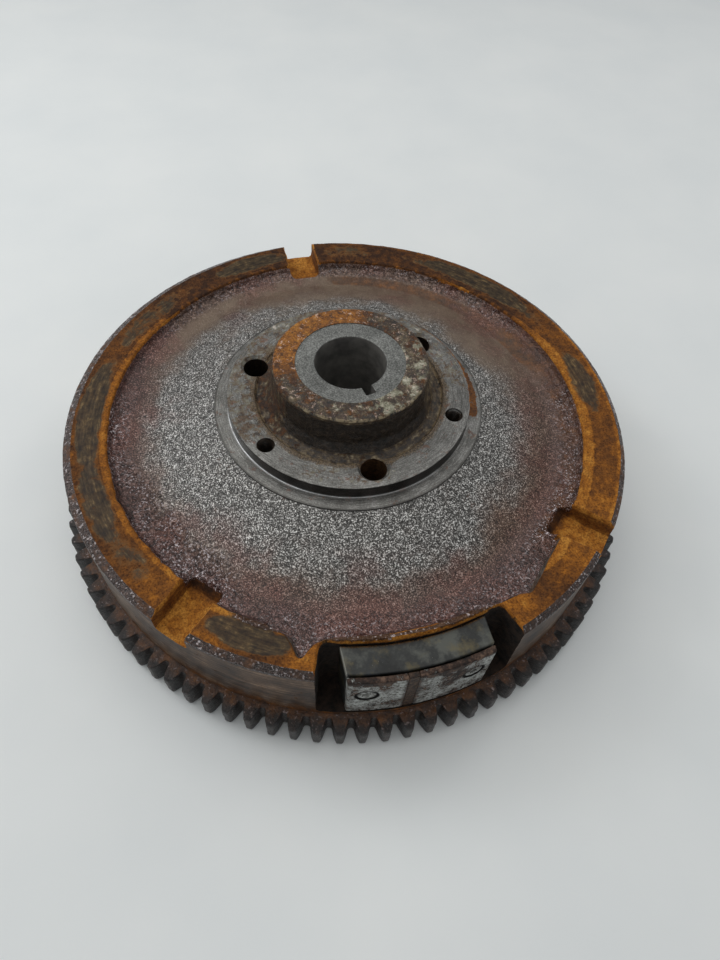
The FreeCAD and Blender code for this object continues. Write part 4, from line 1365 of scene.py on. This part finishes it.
def screw_finish():
    """Blackened screw steel with paint and rust left in its corners."""
    f = Finish("blackened_screw", specular=0.5, metallic=0.5)
    fine = f.noise(0.6, 4.0, 0.65)
    broad = f.noise(2.4, 4.0, 0.6, 3.0)
    dark = f.ramp(fine, (0.36, 26, 23, 21), (0.66, 86, 78, 70))
    rust = f.window(broad, 0.52, 0.62)
    colour = f.mix(rust * 0.7, dark, rust_colour(f, 1.5, 0.3))
    return f.finish(colour, f.span(broad, 0.35, 0.7), fine * 0.15, 0.7)


def ferrite_finish():
    """Sintered charging magnets: dark grey with small chips and dust."""
    f = Finish("sintered_ferrite", specular=0.4)
    fine = f.noise(0.7, 4.0, 0.65)
    broad = f.noise(7.0, 4.0, 0.6, 3.0)
    dark = f.ramp(fine, (0.36, 34, 34, 36), (0.66, 72, 71, 72))
    dust = f.window(broad, 0.5, 0.7)
    colour = f.mix(dust * 0.5, dark, (104, 84, 68))
    return f.finish(colour, f.span(fine, 0.5, 0.75), fine * 0.2, 0.7)


def retainer_finish():
    """Dull zinc-plated pressing with white bloom and rust at its scratches."""
    f = Finish("dull_zinc", metallic=0.7, specular=0.5)
    fine = f.noise(0.8, 4.0, 0.65, place=f.turning(10.0))
    broad = f.noise(10.0, 4.0, 0.6, 3.0)
    zinc = f.ramp(broad, (0.36, 96, 94, 88), (0.62, 148, 147, 140))
    rust = f.spots(0.56, 0.66, 5.0, 6.0, 0.7, 6.0)
    colour = f.mix(rust * 0.8, zinc, rust_colour(f, 3.0, 0.3))
    return f.finish(colour, f.span(fine, 0.35, 0.6), fine * 0.1, 0.6)


def casting_zones(mesh):
    """Material number of each face of the casting, from its centre and the way it faces."""
    centres = read(mesh.polygons, "center") / MM
    facing = read(mesh.polygons, "normal")
    radius, angle = polar(centres)
    height = centres[:, 2]
    outward = (facing[:, 0] * centres[:, 0] + facing[:, 1] * centres[:, 1]) / radius
    web, land, wall, bevel, cut, machined, hub, washer, bore, under = range(10)
    zone = np.full(len(centres), under)
    top = height > 40.0
    zone[top & (radius > SPOT_RADIUS) & (radius < 94.0)] = web
    zone[(height > 45.2) & (radius >= 93.0)] = land
    zone[(outward > 0.9) & (radius > 108.9) & (height > 12.0)] = wall
    zone[(height > 43.4) & (radius > 105.0) & (outward > 0.16)] = bevel
    zone[(radius <= SPOT_RADIUS + 0.05) & (height > 52.0) & (radius > SPIGOT_FACE - 0.4)] = machined
    zone[(radius <= SPIGOT_FACE - 0.4) & (height > 55.0) & (radius > WASHER_RADIUS)] = hub
    zone[(radius <= WASHER_RADIUS) & (height > 72.4)] = washer
    zone[(radius < 13.6) & (height < 72.7)] = bore
    facing_up = facing[:, 2]
    notch = np.zeros(len(centres), bool)
    for direction in NOTCH_ANGLES:
        turn = np.radians(angle - direction)
        notch |= (np.abs(radius * np.sin(turn)) < 8.3) & (radius > 87.0) & (height < 45.95)
    in_notch = notch & ((height < 40.6) | (np.abs(facing_up) < 0.75) & (radius > 93.0)) & (height > 36.0)
    zone[in_notch & (outward < 0.9)] = cut
    recess = (radius > 96.0) & (np.abs(centres[:, 0]) < 37.5) & (centres[:, 1] < -80.0)
    recess &= (outward < 0.9) & (height < 45.9) & (height > 14.0)
    low = (facing_up > 0.6) & (height > 41.0)
    zone[recess & ~low & (np.abs(facing_up) < 0.97)] = cut
    zone[recess & (height < 17.0)] = cut
    back_wall = (radius > 96.0) & (radius < 99.0) & (outward >= 0.9) & (centres[:, 1] < -80.0)
    zone[back_wall & (height > 14.0) & (height < 45.9)] = cut
    dip = (centres[:, 1] < -45.0) & (height > 41.0) & (height < 45.3) & (facing_up > 0.5)
    zone[dip & (radius > 88.0) & (radius < 104.5)] = web
    hole = np.zeros(len(centres), bool)
    puller = [(PULLER_CIRCLE, direction) for direction in PULLER_ANGLES]
    fan_screw = [(FAN_SCREW_CIRCLE, direction) for direction in FAN_SCREW_ANGLES]
    for middles, size in ((across_wheel(puller), 4.9), (across_wheel(fan_screw), 3.1)):
        for middle in middles:
            away = np.hypot(*(centres[:, :2] - middle).T)
            hole |= (away < size) & (height < 58.2)
    zone[hole] = bore
    key = (np.abs(facing_up) < 0.3) & (radius < 17.8) & (height < 72.9)
    zone[key & (radius > 13.0)] = bore
    mesh.polygons.foreach_set("material_index", zone.astype(np.int32))
    mesh.update()


def paint_hub(mesh):
    """Where the hub and its spigot are rusty, pale, stained or oily, with painted shade on the front wall
    and a painted highlight at the spigot's foot, and where the cut pockets are rusty.
    """
    points = points_of(mesh)
    radius, angle = polar(points)
    height = points[:, 2]
    crown = clearly(height > 72.9) * clearly(radius > 19.5) * clearly(radius < 29.0)
    paint(mesh, "crown", crown)
    left = around(angle, 165.0, 35.0, 30.0)
    orange = around(angle, 124.0, 40.0, 34.0)
    rust = 0.30 + crown * (0.65 * orange + 0.12) + (1.0 - crown) * 0.22 * left
    paint(mesh, "hub_rust", rust)
    paint(mesh, "hub_bright", 0.06 + crown * (0.22 + 0.55 * orange))
    pale = 0.30 + 0.32 * around(angle, -35.0, 40.0, 20.0) + 0.14 * around(angle, -100.0, 25.0, 15.0)
    paint(mesh, "hub_pale", crown * (pale - 0.4 * orange))
    paint(mesh, "front_edge", around(angle, -86.0, 48.0, 20.0))
    # Oily skin all round, and near-black painted shade on the hub's front wall.
    front = around(angle, -95.0, 46.0, 26.0)
    wall = clearly(height < 71.8) * ease(height, 57.8, 59.5)
    paint(mesh, "oil_and_front_shade", front * wall * 0.9 + 0.12)
    stained = 0.52 * around(angle, 148.0, 48.0, 22.0) + 0.40 * around(angle, 30.0, 30.0, 25.0)
    stained += 0.34 * around(angle, -104.0, 18.0, 12.0) * ease(radius, 45.8, 44.0)
    paint(mesh, "spigot_stain", stained * clearly(radius < 46.4))
    spot_rust = around(angle, 6.0, 26.0, 6.0) * ease(radius, 45.8, 46.4) * ease(radius, 50.8, 49.4)
    paint(mesh, "spot_rust", spot_rust)
    # Painted highlight along the spigot's foot, strongest at the front left.
    foot = ease(radius, 46.5, 46.6) * ease(radius, 46.95, 46.75) * clearly(height < 53.8)
    highlight_share = 0.55 * around(angle, -152.0, 20.0, 16.0) + 0.3 * around(angle, -95.0, 30.0, 10.0)
    paint(mesh, "painted_foot_highlight", foot * highlight_share)
    deep = clearly(points[:, 1] < -80.0) * clearly(np.abs(points[:, 0]) < 38.0)
    paint(mesh, "pocket_rust", np.where(deep > 0.5, 0.55 * ease(height, 42.5, 45.8) - 0.1, 0.75))


def dress(pieces, materials):
    for piece in pieces:
        piece.data.materials.clear()
        for material in materials:
            piece.data.materials.append(material)


# ---------------------------------------------------------------- stage
def build_stage():
    """Plain pale table under the wheel."""
    mesh = bpy.data.meshes.new("table")
    reach = 6.0
    corners = [(-reach, -reach, 0), (reach, -reach, 0), (reach, reach, 0), (-reach, reach, 0)]
    mesh.from_pydata(corners, [], [(0, 1, 2, 3)])
    table = bpy.data.objects.new("table", mesh)
    bpy.context.scene.collection.objects.link(table)
    f = Finish("table_top", specular=0.3)
    colour = f.ramp(f.noise(60.0, 3.0, 0.5), (0.3, 232, 236, 237), (0.7, 238, 241, 241))
    mesh.materials.append(f.finish(colour, 0.55, f.noise(0.8, 2.0, 0.5) * 0.05, 0.5))


def add_light(name, place, aim, size, power, colour=(1.0, 1.0, 1.0)):
    data = bpy.data.lights.new(name, "AREA")
    data.shape = "RECTANGLE"
    data.size, data.size_y = size
    data.energy = power
    data.color = colour
    light = bpy.data.objects.new(name, data)
    light.location = place
    light.rotation_euler = (Vector(aim) - Vector(place)).to_track_quat("-Z", "Y").to_euler()
    bpy.context.scene.collection.objects.link(light)


def build_lights():
    """Large soft light overhead, a smaller one behind on the left, and an even surround."""
    centre = (0.0, 0.0, 0.03)
    add_light("overhead", (-0.14, 0.14, 0.95), centre, (1.2, 1.2), 4.7, (1.0, 0.99, 0.95))
    add_light("window", (-0.55, 0.45, 0.60), centre, (0.30, 0.30), 1.55, (0.98, 0.99, 1.0))
    add_light("strip", (0.60, 0.35, 0.55), centre, (0.12, 0.5), 0.55)
    world = bpy.data.worlds.new("surround")
    world.use_nodes = True
    background = world.node_tree.nodes["Background"]
    background.inputs["Color"].default_value = (0.80, 0.82, 0.84, 1.0)
    background.inputs["Strength"].default_value = 0.36
    bpy.context.scene.world = world
    bpy.context.scene.view_settings.view_transform = "Standard"


def build_camera():
    """Camera above the front of the wheel, a little to the magnet's left and slightly rolled."""
    place = Vector((-0.0470, -0.1755, 0.2543))
    aim = Vector((-0.0035, -0.0340, 0.0460))
    roll = math.radians(4.25)
    data = bpy.data.cameras.new("camera")
    data.sensor_width = 36.0
    data.lens = 25.9
    data.clip_start = 0.01
    data.clip_end = 20.0
    camera = bpy.data.objects.new("camera", data)
    camera.location = place
    camera.rotation_mode = "QUATERNION"
    facing = (aim - place).to_track_quat("-Z", "Y")
    camera.rotation_quaternion = facing @ Quaternion((0.0, 0.0, 1.0), roll)
    bpy.context.scene.collection.objects.link(camera)
    bpy.context.scene.camera = camera


# ---------------------------------------------------------------- everything
def main():
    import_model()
    build_camera()
    build_stage()
    build_lights()

    casting = build_casting()
    paint_casting(casting.data)
    paint_hub(casting.data)
    makers = (
        cast_web_finish, land_finish, wall_finish, bevel_finish, cut_finish,
        machined_finish, hub_finish, washer_finish, bore_finish, under_finish
    )
    dress([casting], [make() for make in makers])
    casting_zones(casting.data)

    dress([build_gear()], [gear_finish()])
    block, shoes, spacer = build_magnet()
    dress([block], [magnet_finish()])
    dress(shoes, [shoe_finish()])
    dress([spacer], [spacer_finish()])
    dress(build_pole_screws(), [shoe_finish("painted_screw")])
    dress(build_retainer_screws(), [screw_finish()])
    dress(build_charging_magnets(), [ferrite_finish()])
    dress([build_retainer()], [retainer_finish()])


main()
